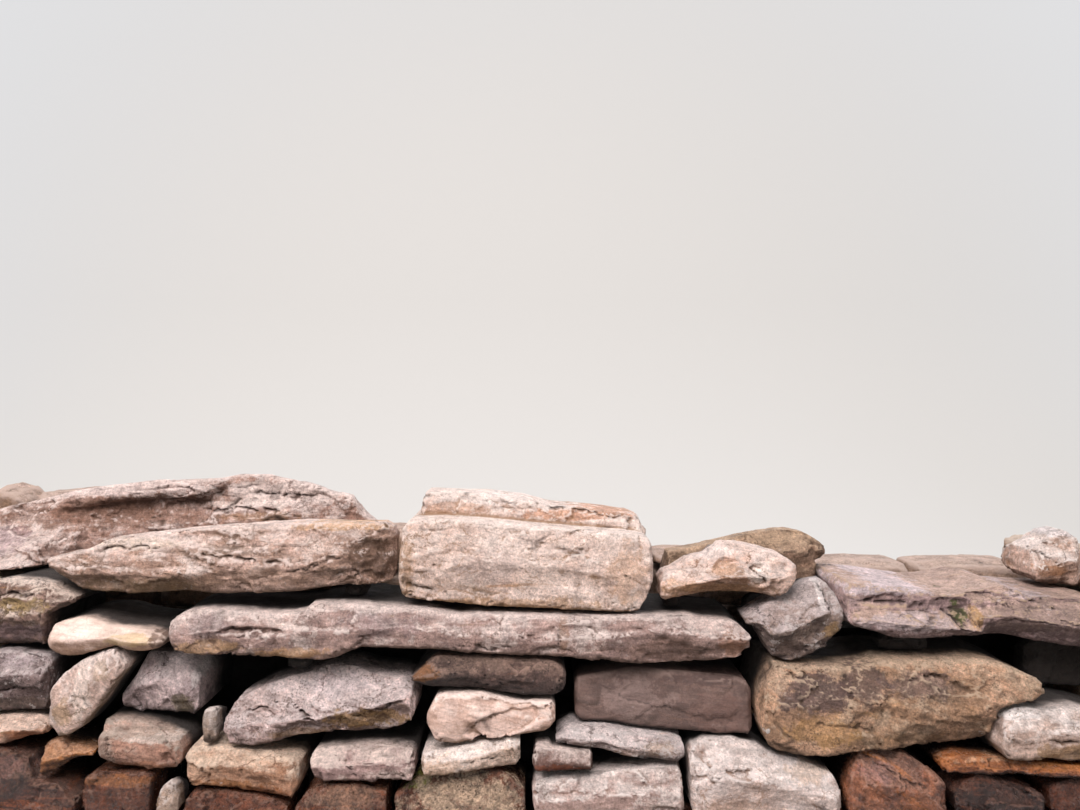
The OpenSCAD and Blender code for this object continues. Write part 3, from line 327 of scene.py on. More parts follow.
# The next two give the ragged edges of the painted shade in the joints, and of the painted highlight and
# painted shade that follow which way the surface looks
RAGGED_JOINT_SHADE = 30  # ragged edges, 33 mm
RAGGED_LIGHT_AND_SHADE = 34  # 29 mm
RAGGED_STAINS = 42  # 24 mm
MOTTLES = 46  # 22 mm
CRUSTS = 52  # lichen, 19 mm
SHEEN = 60  # duller and glossier places, 17 mm
ROUGH_GRAIN = 80  # 12 mm and finer
PITS = 210.0  # 5 mm from one to the next
GRAINS = 260  # 4 mm

# Patterns of the relief, in the same way
HOLLOWS = 7.0  # broad hollows, 140 mm
BED_STEPS = 7.5  # how long a part of a bed is before it steps, 130 mm
WARPS = 9.0  # bends of the beds, 110 mm
SPLIT_AREAS = 13.0  # 75 mm
FLAKES = 15.0  # scales, 65 mm
CHIPS = 62.0  # 16 mm
BITES = 85.0  # bites out of the arrises, 12 mm
HOLES = 110.0  # 9 mm

# Relief: how often a normal is averaged with its neighbours before a stone is cut along it, and
# how often a place is, to find the arrises; the layers that a scale comes off in; and the bump of a
# dry and of a wet skin, in metres, and the roughness below which a skin is wet
BLUNT_TURNS = 90
ARRIS_TURNS = 9
FLAKE_LAYERS = 6.0
DRY_BUMP = 0.011
WET_BUMP = 0.007
WET_GLOSS = 0.5

# Meshes: the distance at which points are welded, in metres, the share of its faces that the deep
# part of a stone keeps, and the number of points below which it is left alone
WELD = 0.00002
DEEP_SHARE = 0.06
FEW_POINTS = 50

# Painted shade: the colour deep in the cracks of all stones
CRACK_SHADE = "#2c1f18"

# The colour of the sky, and how bright the camera sees it
SKY = "#f2f2f4"
SKY_SEEN = 0.85

# The paper: its width and how high it stands behind the wall, in metres, its colour to the camera,
# and the light that the camera sees on it with the share of that light
PAPER_WIDTH = 14
PAPER_HEIGHT = 7
PAPER_SEEN = "#d6d3cf"
PAPER_LIGHT = "#f6f4f1"
PAPER_LIT = 0.5

# Kinds of node that the surfaces and the relief use over and over, and a range with soft ends
MATH = "ShaderNodeMath"
VECTOR = "ShaderNodeVectorMath"
JOIN = "ShaderNodeCombineXYZ"
SPLIT = "ShaderNodeSeparateXYZ"
TURN = "ShaderNodeVectorRotate"
NOISE = "ShaderNodeTexNoise"
CELLS = "ShaderNodeTexVoronoi"
RANGE = "ShaderNodeMapRange"
MIX = "ShaderNodeMix"
BLUR = "GeometryNodeBlurAttribute"
STORE = "GeometryNodeStoreNamedAttribute"
MOVE = "GeometryNodeSetPosition"
SOFT = dict(interpolation_type="SMOOTHSTEP")


# Small helpers
def linear(code):
    """An sRGB hex colour as the linear RGBA that a shader takes."""
    parts = [int(code[i : i + 2], 16) / 255 for i in (1, 3, 5)]
    return [c / 12.92 if c <= 0.04045 else ((c + 0.055) / 1.055) ** 2.4 for c in parts] + [1.0]


def add(tree, kind, *values, **settings):
    """Adds a node with its settings and links. The values fill its working inputs in order, or by
    name where they are a dict. A socket is linked, and a node by its first working output."""
    node = tree.nodes.new(kind)
    for key, value in settings.items():
        setattr(node, key, value)
    if values and isinstance(values[0], dict):
        inputs = [(node.inputs[key], value) for key, value in values[0].items()]
    else:
        inputs = zip([socket for socket in node.inputs if socket.enabled], values)
    for socket, value in inputs:
        if isinstance(value, bpy.types.Node):
            value = next(output for output in value.outputs if output.enabled)
        if isinstance(value, bpy.types.NodeSocket):
            tree.links.new(value, socket)
        else:
            socket.default_value = value
    return node


def patches(tree, where, scale, detail, rough, *span, **settings):
    """Noise whose span from low to high becomes 0 to 1, or the two numbers that follow them."""
    return add(tree, RANGE, add(tree, NOISE, where, scale, detail, rough), *span, **settings)


def drift(tree, where, scale, detail, reach):
    """A vector that wanders from place to place, by half of reach each way at the most."""
    way = add(tree, NOISE, where, scale, detail, 0.55).outputs["Color"]
    way = add(tree, VECTOR, way, (0.5, 0.5, 0.5), operation="SUBTRACT")
    return add(tree, VECTOR, way, reach, operation="MULTIPLY")


def seen_rays(tree):
    """1 for the rays that carry the picture, also through a reflection, and 0 for the others."""
    rays = add(tree, "ShaderNodeLightPath").outputs
    bent = add(tree, MATH, rays["Is Glossy Ray"], rays["Is Transmission Ray"], operation="ADD")
    return add(tree, MATH, bent, rays["Is Camera Ray"], operation="ADD", use_clamp=True)


def select_only(piece):
    bpy.ops.object.select_all(action="DESELECT")
    piece.select_set(True)
    bpy.context.view_layer.objects.active = piece


# Relief of the stones
def new_group(name, vectors, numbers):
    """An empty geometry group with these inputs: the group, what it is given, and the place and
    the normal of each point."""
    tree = bpy.data.node_groups.new(name, "GeometryNodeTree")
    sockets = [("Geometry", "Geometry"), *[(vector, "Vector") for vector in vectors],
        *[(number, "Float") for number in numbers]]
    for socket, kind in sockets:
        tree.interface.new_socket(socket, in_out="INPUT", socket_type="NodeSocket" + kind)
    tree.interface.new_socket("Geometry", in_out="OUTPUT", socket_type="NodeSocketGeometry")
    given = add(tree, "NodeGroupInput").outputs
    return tree, given, add(tree, "GeometryNodeInputPosition"), add(tree, "GeometryNodeInputNormal")


def lift(tree, place, normal, turns):
    """How far the surface stands out from its surroundings, in metres."""
    around = add(tree, BLUR, place, turns, data_type="FLOAT_VECTOR")
    out = add(tree, VECTOR, place, around, operation="SUBTRACT")
    return add(tree, VECTOR, out, normal, operation="DOT_PRODUCT")


def fronts(tree, normal, low, high):
    """1 where the surface faces the front, and 0 where it looks away from it."""
    faces = add(tree, VECTOR, normal, (0, -1, 0), operation="DOT_PRODUCT")
    return add(tree, RANGE, faces, low, high, **SOFT)


def weathering():
    """Broad hollows, stepped beds, splits and pits, all cut inwards from the plain solid."""
    tree, given, place, normal = new_group("weathering", ["Seed"], ["Tilt", "Rough", "Bed", "Step",
        "Split", "Facet", "Flake", "Chip", "Ends", "Inner ends"])
    own = add(tree, TURN, {"Vector": place, "Angle": given["Tilt"]}, rotation_type="Y_AXIS")
    own = add(tree, VECTOR, own, given["Seed"], operation="ADD")
    warped = add(tree, VECTOR, own, drift(tree, own, WARPS, 4.0, (0.05, 0.05, 0.05)), operation="ADD")
    # beds that step back, each by its own part, and splits between some of them
    tall = add(tree, MATH, 1.0, given["Bed"], operation="DIVIDE")
    sizes = add(tree, JOIN, BED_STEPS, BED_STEPS, tall)
    cells = add(tree, VECTOR, warped, sizes, operation="MULTIPLY")
    bed = add(tree, SPLIT, add(tree, CELLS, cells, 1.0, feature="F1").outputs["Color"])
    split = add(tree, CELLS, cells, 1.0, feature="DISTANCE_TO_EDGE")
    split = add(tree, RANGE, split, 0.07, 0.0, **SOFT)
    some = patches(tree, own, SPLIT_AREAS, 2.0, 0.55, 0.58, 0.68, **SOFT)
    split = add(tree, MATH, split, some, operation="MULTIPLY")
    # broken planes
    lumps = add(tree, VECTOR, warped, (11, 14, 19), operation="MULTIPLY")
    lump = add(tree, CELLS, lumps, 1.0, feature="F1").outputs
    lean = add(tree, VECTOR, lump["Color"], (0.5, 0.5, 0.5), operation="SUBTRACT")
    facet = add(tree, VECTOR, lumps, lump["Position"], operation="SUBTRACT")
    facet = add(tree, VECTOR, facet, lean, operation="DOT_PRODUCT")
    facet = add(tree, RANGE, facet, -0.35, 0.35)
    # scales that have come off, layer by layer
    flat = add(tree, VECTOR, warped, (0.55, 0.55, 1.7), operation="MULTIPLY")
    scale = patches(tree, flat, FLAKES, 7.0, 0.62, 0.3, 0.7, 0.0, FLAKE_LAYERS)
    floor = add(tree, MATH, scale, operation="FLOOR")
    riser = add(tree, MATH, scale, floor, operation="SUBTRACT")
    riser = add(tree, RANGE, riser, 0.72, 1.0, **SOFT)
    flakes = add(tree, MATH, floor, riser, operation="ADD")
    flakes = add(tree, MATH, flakes, FLAKE_LAYERS, operation="DIVIDE")
    # small chips and holes
    chips = patches(tree, own, CHIPS, 5.0, 0.65, 0.3, 0.72, 0.0, 0.6)
    holes = patches(tree, own, HOLES, 2.0, 0.5, 0.6, 0.7, 0.0, 0.35, **SOFT)
    fine = add(tree, MATH, chips, holes, operation="ADD")

    broad = patches(tree, own, HOLLOWS, 3.0, 0.5, 0.3, 0.7)
    depth = add(tree, MATH, broad, given["Rough"], operation="MULTIPLY")
    for form, name in ((bed, "Step"), (split, "Split"), (facet, "Facet"), (flakes, "Flake"),
            (fine, "Flake")):
        form = add(tree, MATH, form, given[name], operation="MULTIPLY")
        depth = add(tree, MATH, depth, form, operation="ADD")
    # the cut goes against the way in which the surface looks, less far up and down and at the ends
    looks = add(tree, SPLIT, add(tree, BLUR, normal, BLUNT_TURNS, data_type="FLOAT_VECTOR")).outputs
    outer = add(tree, MATH, looks["X"], add(tree, SPLIT, place), operation="MULTIPLY")
    outer = add(tree, MATH, outer, 0.0, operation="GREATER_THAN")
    more = add(tree, MATH, given["Ends"], given["Inner ends"], operation="SUBTRACT")
    more = add(tree, MATH, outer, more, operation="MULTIPLY")
    at_ends = add(tree, MATH, given["Inner ends"], more, operation="ADD")
    parts = []
    for axis, share in (("X", at_ends), ("Y", 1.0), ("Z", 0.3)):
        size = add(tree, MATH, looks[axis], operation="ABSOLUTE")
        size = add(tree, RANGE, size, 0.02, 0.42, **SOFT)
        way = add(tree, MATH, looks[axis], operation="SIGN")
        way = add(tree, MATH, way, size, operation="MULTIPLY")
        back = add(tree, MATH, share, -1.0, operation="MULTIPLY")
        parts.append(add(tree, MATH, way, back, operation="MULTIPLY"))
    cut = add(tree, VECTOR, add(tree, JOIN, *parts), depth, operation="SCALE")
    kept = add(tree, STORE, {"Geometry": given["Geometry"], "Name": "crack", "Value": split},
        data_type="FLOAT", domain="POINT")
    moved = add(tree, MOVE, {"Geometry": kept, "Offset": cut})
    # the arrises are chipped: where the surface stands out from its surroundings, bites are taken
    bites = patches(tree, own, BITES, 5.0, 0.7, 0.52, 0.6, **SOFT)
    edge = add(tree, RANGE, lift(tree, place, normal, ARRIS_TURNS), 0.0005, 0.0022, **SOFT)
    for factor in (edge, given["Chip"], -1.0):
        bites = add(tree, MATH, bites, factor, operation="MULTIPLY")
    cut = add(tree, VECTOR, normal, bites, operation="SCALE")
    add(tree, "NodeGroupOutput", add(tree, MOVE, {"Geometry": moved, "Offset": cut}))
    return tree


def splitting():
    """One crack along the face between two points, tapering to nothing at its ends."""
    tree, given, place, normal = new_group("splitting", ["From", "To"], ["Width", "Depth"])
    flat = add(tree, VECTOR, place, (1, 0, 1), operation="MULTIPLY")
    for scale, detail, reach in ((28.0, 4.0, 0.03), (110.0, 3.0, 0.01)):
        way = drift(tree, place, scale, detail, (reach, 0, reach))
        flat = add(tree, VECTOR, flat, way, operation="ADD")
    along = add(tree, VECTOR, given["To"], given["From"], operation="SUBTRACT")
    rest = add(tree, VECTOR, flat, given["From"], operation="SUBTRACT")
    part = add(tree, VECTOR, rest, along, operation="DOT_PRODUCT")
    whole = add(tree, VECTOR, along, along, operation="DOT_PRODUCT")
    part = add(tree, MATH, part, whole, operation="DIVIDE", use_clamp=True)
    away = add(tree, VECTOR, along, part, operation="SCALE")
    away = add(tree, VECTOR, rest, away, operation="SUBTRACT")
    away = add(tree, VECTOR, away, operation="LENGTH")
    wide = patches(tree, place, 34.0, 3.0, 0.55, 0.36, 0.62, 0.15, 1.25, **SOFT)
    wide = add(tree, MATH, given["Width"], wide, operation="MULTIPLY")
    near = add(tree, RANGE, away, wide, 0.0, **SOFT)
    taper = add(tree, MATH, 1.0, part, operation="SUBTRACT")
    taper = add(tree, MATH, part, taper, operation="MULTIPLY")
    taper = add(tree, MATH, taper, 7.0, operation="MULTIPLY", use_clamp=True)
    for factor in (taper, fronts(tree, normal, 0.05, 0.4)):
        near = add(tree, MATH, near, factor, operation="MULTIPLY")
    dark = add(tree, "GeometryNodeInputNamedAttribute", "crack", data_type="FLOAT")
    dark = add(tree, MATH, dark, near, operation="MAXIMUM")
    kept = add(tree, STORE, {"Geometry": given["Geometry"], "Name": "crack", "Value": dark},
        data_type="FLOAT", domain="POINT")
    depth = add(tree, MATH, near, given["Depth"], operation="MULTIPLY")
    cut = add(tree, JOIN, 0.0, depth, 0.0)
    add(tree, "NodeGroupOutput", add(tree, MOVE, {"Geometry": kept, "Offset": cut}))
    return tree


def hollowing():
    """A shallow scoop in the face, with a crisp lip where the edge is near 1."""
    tree, given, place, normal = new_group("hollowing", ["Middle", "Size"], ["Turn", "Depth", "Edge"])
    flat = add(tree, VECTOR, place, (1, 0, 1), operation="MULTIPLY")
    flat = add(tree, VECTOR, flat, drift(tree, place, 22.0, 4.0, (0.022, 0, 0.022)), operation="ADD")
    away = add(tree, VECTOR, flat, given["Middle"], operation="SUBTRACT")
    away = add(tree, TURN, {"Vector": away, "Angle": given["Turn"]}, rotation_type="Y_AXIS")
    away = add(tree, VECTOR, away, given["Size"], operation="DIVIDE")
    away = add(tree, VECTOR, away, operation="LENGTH")
    depth = add(tree, RANGE, away, 1.0, given["Edge"], **SOFT)
    for factor in (fronts(tree, normal, -0.1, 0.3), given["Depth"]):
        depth = add(tree, MATH, depth, factor, operation="MULTIPLY")
    cut = add(tree, JOIN, 0.0, depth, 0.0)
    add(tree, "NodeGroupOutput", add(tree, MOVE, {"Geometry": given["Geometry"], "Offset": cut}))
    return tree


def reading():
    """Keeps what the surface itself knows: how far each place stands out from its close and its wider
    surroundings, how far it looks up and how far it stands before the face of the wall, with the tone of
    its stone."""
    tree, given, place, normal = new_group("reading", [], ["Shade", "Warmth"])
    known = {"shade": given["Shade"], "warmth": given["Warmth"]}
    for name, turns, size in (("standing_out", 4, 0.0016), ("sunk", 30, 0.006)):
        known[name] = add(tree, RANGE, lift(tree, place, normal, turns), -size, size)
    up = add(tree, VECTOR, normal, (0, 0, 1), operation="DOT_PRODUCT")
    known["up"] = add(tree, BLUR, up, 3, data_type="FLOAT")
    far = add(tree, SPLIT, place).outputs
    joint = add(tree, MATH, far["Y"], operation="ABSOLUTE")
    joint = add(tree, MATH, joint, HALF_FOOT, operation="SUBTRACT")
    lean = add(tree, MATH, far["Z"], BATTER, operation="MULTIPLY")
    known["joint"] = add(tree, MATH, joint, lean, operation="ADD")
    kept = given["Geometry"]
    for name, value in known.items():
        kept = add(tree, STORE, {"Geometry": kept, "Name": name, "Value": value}, data_type="FLOAT",
            domain="POINT")
    add(tree, "NodeGroupOutput", kept)
    return tree


def apply_group(piece, tree, values):
    """Adds the group as a modifier with these values and applies it."""
    modifier = piece.modifiers.new(tree.name, "NODES")
    modifier.node_group = tree
    for item in tree.interface.items_tree:
        if item.in_out == "INPUT" and item.name in values:
            modifier[item.identifier] = values[item.name]
    select_only(piece)
    bpy.ops.object.modifier_apply(modifier=modifier.name)


# Making a stone
def solids_of(node, name):
    """Working copies of a node's solids, their loose triangles welded."""
    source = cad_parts[node]
    work = source.copy()
    work.data = source.data.copy()
    work.name = name
    bpy.context.scene.collection.objects.link(work)
    work.parent = None
    work.hide_render = work.hide_viewport = False
    for key in [k for k in work.keys() if k.startswith("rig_")]:
        del work[key]
    select_only(work)
    bpy.ops.object.mode_set(mode="EDIT")
    bpy.ops.mesh.select_all(action="SELECT")
    bpy.ops.mesh.remove_doubles(threshold=WELD)
    bpy.ops.mesh.normals_make_consistent(inside=False)
    bpy.ops.mesh.separate(type="LOOSE")
    bpy.ops.object.mode_set(mode="OBJECT")
    return list(bpy.context.selected_objects)


def weather(solid, spec, props, groups, index, tones):
    """Turns one plain solid into a weathered stone in the same place, within the same box."""
    low = np.min([v.co for v in solid.data.vertices], axis=0)
    high = np.max([v.co for v in solid.data.vertices], axis=0)
    solid.data.remesh_voxel_size = props.hidden_detail if spec["hidden"] else props.detail
    solid.data.remesh_voxel_adaptivity = 0.0
    select_only(solid)
    bpy.ops.object.voxel_remesh()
    soften = solid.modifiers.new("soften", "SMOOTH")
    soften.factor = 0.5
    soften.iterations = spec["soften"]
    bpy.ops.object.modifier_apply(modifier=soften.name)
    # each stone reads the patterns at a place of its own
    seed = (index * 3.17 % 11, index * 1.73 % 7, index * 2.39 % 5)
    bed, step = spec["bed"]
    depths = {"Rough": 0.8 * spec["rough"], "Step": step, "Split": spec["splits"],
        "Facet": spec["facet"], "Flake": spec["flakes"], "Chip": spec["chips"]}
    apply_group(solid, groups["weathering"], {"Seed": seed, "Tilt": math.radians(spec["tilt"]),
        "Bed": bed / 1000, "Ends": spec["ends"], "Inner ends": spec["inner_ends"],
        **{name: depth * props.relief / 1000 for name, depth in depths.items()}})
    for x, z, wide, tall, turn, depth, edge in spec["hollows"]:
        if low[0] < x / 1000 < high[0]:
            apply_group(solid, groups["hollowing"], {"Middle": (x / 1000, 0, z / 1000),
                "Size": (wide / 1000, 1.0, tall / 1000), "Turn": math.radians(turn),
                "Depth": depth / 1000, "Edge": edge})
    for x0, z0, x1, z1, width, depth in spec["cracks"]:
        if low[0] < (x0 + x1) / 2000 < high[0]:
            apply_group(solid, groups["splitting"], {"From": (x0 / 1000, 0, z0 / 1000),
                "To": (x1 / 1000, 0, z1 / 1000), "Width": width / 1000, "Depth": depth / 1000})
    apply_group(solid, groups["reading"], {"Shade": tones[0], "Warmth": tones[1]})
    if spec["shown"] is not None:
        thin_out(solid, low[1] + spec["shown"] / 1000)
    keep_inside(solid, low, high)


def thin_out(solid, depth):
    """Leaves fewer faces on the part of a stone that lies deep in the wall."""
    count = len(solid.data.vertices)
    places = np.empty(count * 3)
    solid.data.vertices.foreach_get("co", places)
    deep = places.reshape(-1, 3)[:, 1] > depth
    if deep.sum() < FEW_POINTS:
        return
    select_only(solid)
    bpy.ops.object.mode_set(mode="EDIT")
    bpy.ops.mesh.select_mode(type="VERT")
    bpy.ops.mesh.select_all(action="DESELECT")
    bpy.ops.object.mode_set(mode="OBJECT")
    solid.data.vertices.foreach_set("select", deep)
    bpy.ops.object.mode_set(mode="EDIT")
    bpy.ops.mesh.decimate(ratio=DEEP_SHARE)
    bpy.ops.object.mode_set(mode="OBJECT")


def keep_inside(solid, low, high):
    """Holds a stone within the box of the solid it stands for."""
    count = len(solid.data.vertices)
    places = np.empty(count * 3)
    solid.data.vertices.foreach_get("co", places)
    places = np.clip(places.reshape(-1, 3), low, high)
    solid.data.vertices.foreach_set("co", places.ravel())
    solid.data.update()


def make_stones(nodes, props):
    """Builds the weathered stones of these nodes, one piece for each node."""
    groups = {make.__name__: bpy.data.node_groups.get(make.__name__) or make()
        for make in (weathering, splitting, hollowing, reading)}
    order = list(STONES)
    for node in nodes:
        own = STONES[node]
        spec = {**USUAL, **(HIDDEN if own.get("hidden") else {}), **own}
        solids = solids_of(node, node + "_weathered")
        for i, solid in enumerate(solids):
            # in a group, each stone is lighter or darker and more or less stained than the next
            tones = (1.0, 0.0) if len(solids) == 1 else (0.8 + i * 0.618 % 0.4, i * 0.377 % 0.4)
            weather(solid, spec, props, groups, order.index(node) * 7 + i, tones)
        select_only(solids[0])
        for solid in solids:
            solid.select_set(True)
        if len(solids) > 1:
            bpy.ops.object.join()
        piece = bpy.context.view_layer.objects.active
        piece.name = node + "_weathered"
        piece.data.materials.clear()
        piece.data.materials.append(stone_material(node, spec, props))
        bpy.ops.object.shade_smooth()
        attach(piece, "root")
        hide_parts(node)


# Surfaces
def coated(tree, colour, coats):
    """The colour under its coats, each given by how much it covers and by its own colour."""
    for part, coat in coats:
        colour = add(tree, MIX, part, colour, coat, data_type="RGBA")
    return colour


def stone_material(node, spec, props):
    """Weathered sandstone: a split face that iron has stained, with painted highlight where it looks up
    and on its upper edges, painted shade where it looks down and in nicks, sunk places, cracks and
    joints, matt when dry and glossy where it is wet."""
    kind = {**KINDS[spec["kind"]], **spec["tone"]}
    kind = {key: linear(value) if isinstance(value, str) else value for key, value in kind.items()}
    surface = bpy.data.materials.new("weathered_" + spec["kind"] + "_sandstone_" + node)
    surface.use_nodes = True
    tree = surface.node_tree
    tree.nodes.clear()
    known = {name: add(tree, "ShaderNodeAttribute", attribute_name=name).outputs["Fac"]
        for name in ("shade", "warmth", "up", "standing_out", "sunk", "crack", "joint")}
    place = add(tree, "ShaderNodeTexCoord").outputs["Object"]
    index = list(STONES).index(node)
    own = add(tree, VECTOR, place, (index * 1.7, index * 0.9, index * 2.3), operation="ADD")
    tilt = math.radians(spec["tilt"])
    bedded = add(tree, TURN, {"Vector": own, "Angle": tilt}, rotation_type="Y_AXIS")
    bedded = add(tree, VECTOR, bedded, (1, 1, 7), operation="MULTIPLY")

    # broad clouds of the second tint, then iron in patches and along the beds
    clouds = patches(tree, own, CLOUDS, 8, 0.66, 0.44, 0.56, **SOFT)
    begins = 0.70 - 0.26 * kind["iron_part"]
    iron = add(tree, NOISE, {"Vector": bedded, "Scale": IRON_PATCHES, "Detail": 8, "Roughness": 0.68,
        "Distortion": 0.6})
    iron = add(tree, RANGE, iron, begins, begins + 0.1, 0.0, 0.7, **SOFT)
    blooms = patches(tree, own, BLOOMS, 9, 0.7, 0.54, 0.62, 0.0, 0.5, **SOFT)
    colour = coated(tree, kind["face"], [(clouds, kind["tint"]), (iron, kind["iron"]),
        (blooms, kind.get("bloom", kind["top"]))])
    # in a group, each stone has a tone of its own
    if node in GROUPS:
        colour = coated(tree, colour, [(known["warmth"], kind["iron"])])
        colour = add(tree, VECTOR, colour, known["shade"], operation="SCALE")
    # painted highlight where the stone looks up, painted shade where it looks down
    ragged = patches(tree, own, RAGGED_LIGHT_AND_SHADE, 7, 0.7, 0.3, 0.7, -0.35, 0.35)
    up = add(tree, MATH, known["up"], ragged, operation="ADD")
    top_highlight = add(tree, RANGE, up, 0.2, 0.8, 0.0, kind.get("highlight_share", 0.7), **SOFT)
    underside_shade = add(tree, RANGE, up, -0.15, -0.7, 0.0, 0.8, **SOFT)
    coats = [(top_highlight, kind["top"]), (underside_shade, kind["under"])]
    # stains of its own
    ragged = patches(tree, own, RAGGED_STAINS, 8, 0.74, 0.3, 0.7, -0.7, 0.7)
    flat = add(tree, VECTOR, place, (1, 0, 1), operation="MULTIPLY")
    for x, z, wide, tall, code, strength in spec["stains"]:
        away = add(tree, VECTOR, flat, (x / 1000, 0, z / 1000), operation="SUBTRACT")
        away = add(tree, VECTOR, away, (wide / 1000, 1, tall / 1000), operation="DIVIDE")
        away = add(tree, VECTOR, away, operation="LENGTH")
        away = add(tree, MATH, away, ragged, operation="ADD")
        coats.append((add(tree, RANGE, away, 1.15, 0.75, 0.0, strength, **SOFT), linear(code)))
    colour = coated(tree, colour, coats)
    # beds, mottling and single grains, lighter and darker
    grit = kind["grit"]
    lines = kind.get("lines", 0.2)
    for where, scale, detail, rough, low, high, darker, lighter in (
            (bedded, BED_LINES, 5, 0.62, 0.34, 0.66, lines, lines),
            (own, MOTTLES, 8, 0.78, 0.33, 0.67, 0.38 * grit, 0.34 * grit),
            (own, GRAINS, 4, 0.75, 0.3, 0.7, 0.38 * grit, 0.32 * grit)):
        part = patches(tree, where, scale, detail, rough, low, high, 1 - darker, 1 + lighter)
        colour = add(tree, VECTOR, colour, part, operation="SCALE")
    # lichen: pale grey crusts with ragged edges
    begins = 0.66 - 0.12 * kind["lichen"]
    covers = 0.65 * min(1, kind["lichen"] + 0.3)
    crusts = patches(tree, own, CRUSTS, 9, 0.74, begins, begins + 0.03, 0, covers, **SOFT)
    # pits: small dark holes, in swarms
    swarm = patches(tree, own, SWARMS, 4, 0.6, 0.48, 0.68, 0.06, 0.34, **SOFT)
    pit = add(tree, MATH, add(tree, CELLS, own, PITS, feature="F1"), swarm, operation="LESS_THAN")
    pits = add(tree, MATH, pit, min(0.6, 0.45 * grit), operation="MULTIPLY")
    # hair cracks
    net = add(tree, NOISE, own, BENT, 6, 0.7).outputs["Color"]
    net = add(tree, VECTOR, own, add(tree, VECTOR, net, 0.06, operation="SCALE"), operation="ADD")
    net = add(tree, VECTOR, net, (1, 1, 2.2), operation="MULTIPLY")
    hair = add(tree, CELLS, net, HAIR_CRACKS, feature="DISTANCE_TO_EDGE")
    hair = add(tree, RANGE, hair, 0.03, 0.0, **SOFT)
    some = patches(tree, own, HAIR_CRACKED, 3, 0.5, 0.5, 0.6, 0.0, 0.75 * min(1.0, grit), **SOFT)
    hair = add(tree, MATH, hair, some, operation="MULTIPLY")
    # painted highlight on the upper edges that stand out; painted shade in small nicks, in sunk places and
    # in the splits
    edge_highlight = add(tree, RANGE, known["standing_out"], 0.56, 0.88, 0, 0.8, **SOFT)
    edge_highlight = add(tree, MATH, edge_highlight, add(tree, RANGE, up, -0.1, 0.5, **SOFT), operation="MULTIPLY")
    nick_shade = add(tree, RANGE, known["standing_out"], 0.36, 0.0, 0, 0.6, **SOFT)
    sunk = add(tree, RANGE, known["sunk"], 0.35, 0.0, 0, 0.6, **SOFT)
    crack = add(tree, MATH, known["crack"], 0.7, operation="MULTIPLY")
    # painted shade deep in the joints, behind the face of the wall
    ragged = patches(tree, own, RAGGED_JOINT_SHADE, 4, 0.6, 0.3, 0.7, -0.008, 0.008)
    joint = add(tree, MATH, known["joint"], ragged, operation="ADD")
    begins, ends = spec["joint_shade"]
    joint_shade = add(tree, RANGE, joint, -begins / 1000, -ends / 1000, 0.0, 0.96, **SOFT)
    colour = coated(tree, colour, [(crusts, props.lichen), (pits, kind["under"]),
        (hair, kind["under"]), (edge_highlight, kind["top"]), (nick_shade, kind["under"]), (sunk, kind["under"]),
        (crack, linear(CRACK_SHADE)), (joint_shade, props.joint_dirt)])

    gloss = kind["gloss"]
    shine = patches(tree, own, SHEEN, 4, 0.6, 0.35, 0.65, gloss - 0.12, gloss + 0.1)
    grain = add(tree, MATH, add(tree, NOISE, own, GRAINS, 5, 0.75), 0.3, operation="MULTIPLY")
    coarse = add(tree, NOISE, own, ROUGH_GRAIN, 8, 0.75)
    height = add(tree, MATH, grain, coarse, operation="ADD")
    height = add(tree, MATH, height, add(tree, MATH, pit, 0.2, operation="MULTIPLY"),
        operation="SUBTRACT")
    bump = add(tree, "ShaderNodeBump", {"Height": height, "Strength": 1.0,
        "Distance": WET_BUMP if gloss < WET_GLOSS else DRY_BUMP * grit})
    skin = add(tree, "ShaderNodeBsdfPrincipled", {"Base Color": colour, "Roughness": shine,
        "Normal": bump})
    add(tree, "ShaderNodeOutputMaterial", skin)
    return surface


def paper_material(paper):
    """Matt seamless paper: it throws little light back at the wall, looks pale to the camera,
    takes the shadow, and fades into the sky before its edges."""
    surface = bpy.data.materials.new("matt_paper")
    surface.use_nodes = True
    tree = surface.node_tree
    tree.nodes.clear()
    seen_by = seen_rays(tree)
    colour = add(tree, MIX, seen_by, paper, linear(PAPER_SEEN), data_type="RGBA")
    skin = add(tree, "ShaderNodeBsdfDiffuse", colour)
    lit = add(tree, "ShaderNodeEmission", linear(PAPER_LIGHT), 1.0)
    sky = add(tree, "ShaderNodeEmission", linear(SKY), SKY_SEEN)
    far_off = add(tree, VECTOR, add(tree, "ShaderNodeNewGeometry"), operation="LENGTH")
    far_off = add(tree, RANGE, far_off, 4.4, 6.8, **SOFT)
    for part, light in ((PAPER_LIT, lit), (far_off, sky)):
        part = add(tree, MATH, seen_by, part, operation="MULTIPLY")
        skin = add(tree, "ShaderNodeMixShader", part, skin, light)
    add(tree, "ShaderNodeOutputMaterial", skin)
    return surface


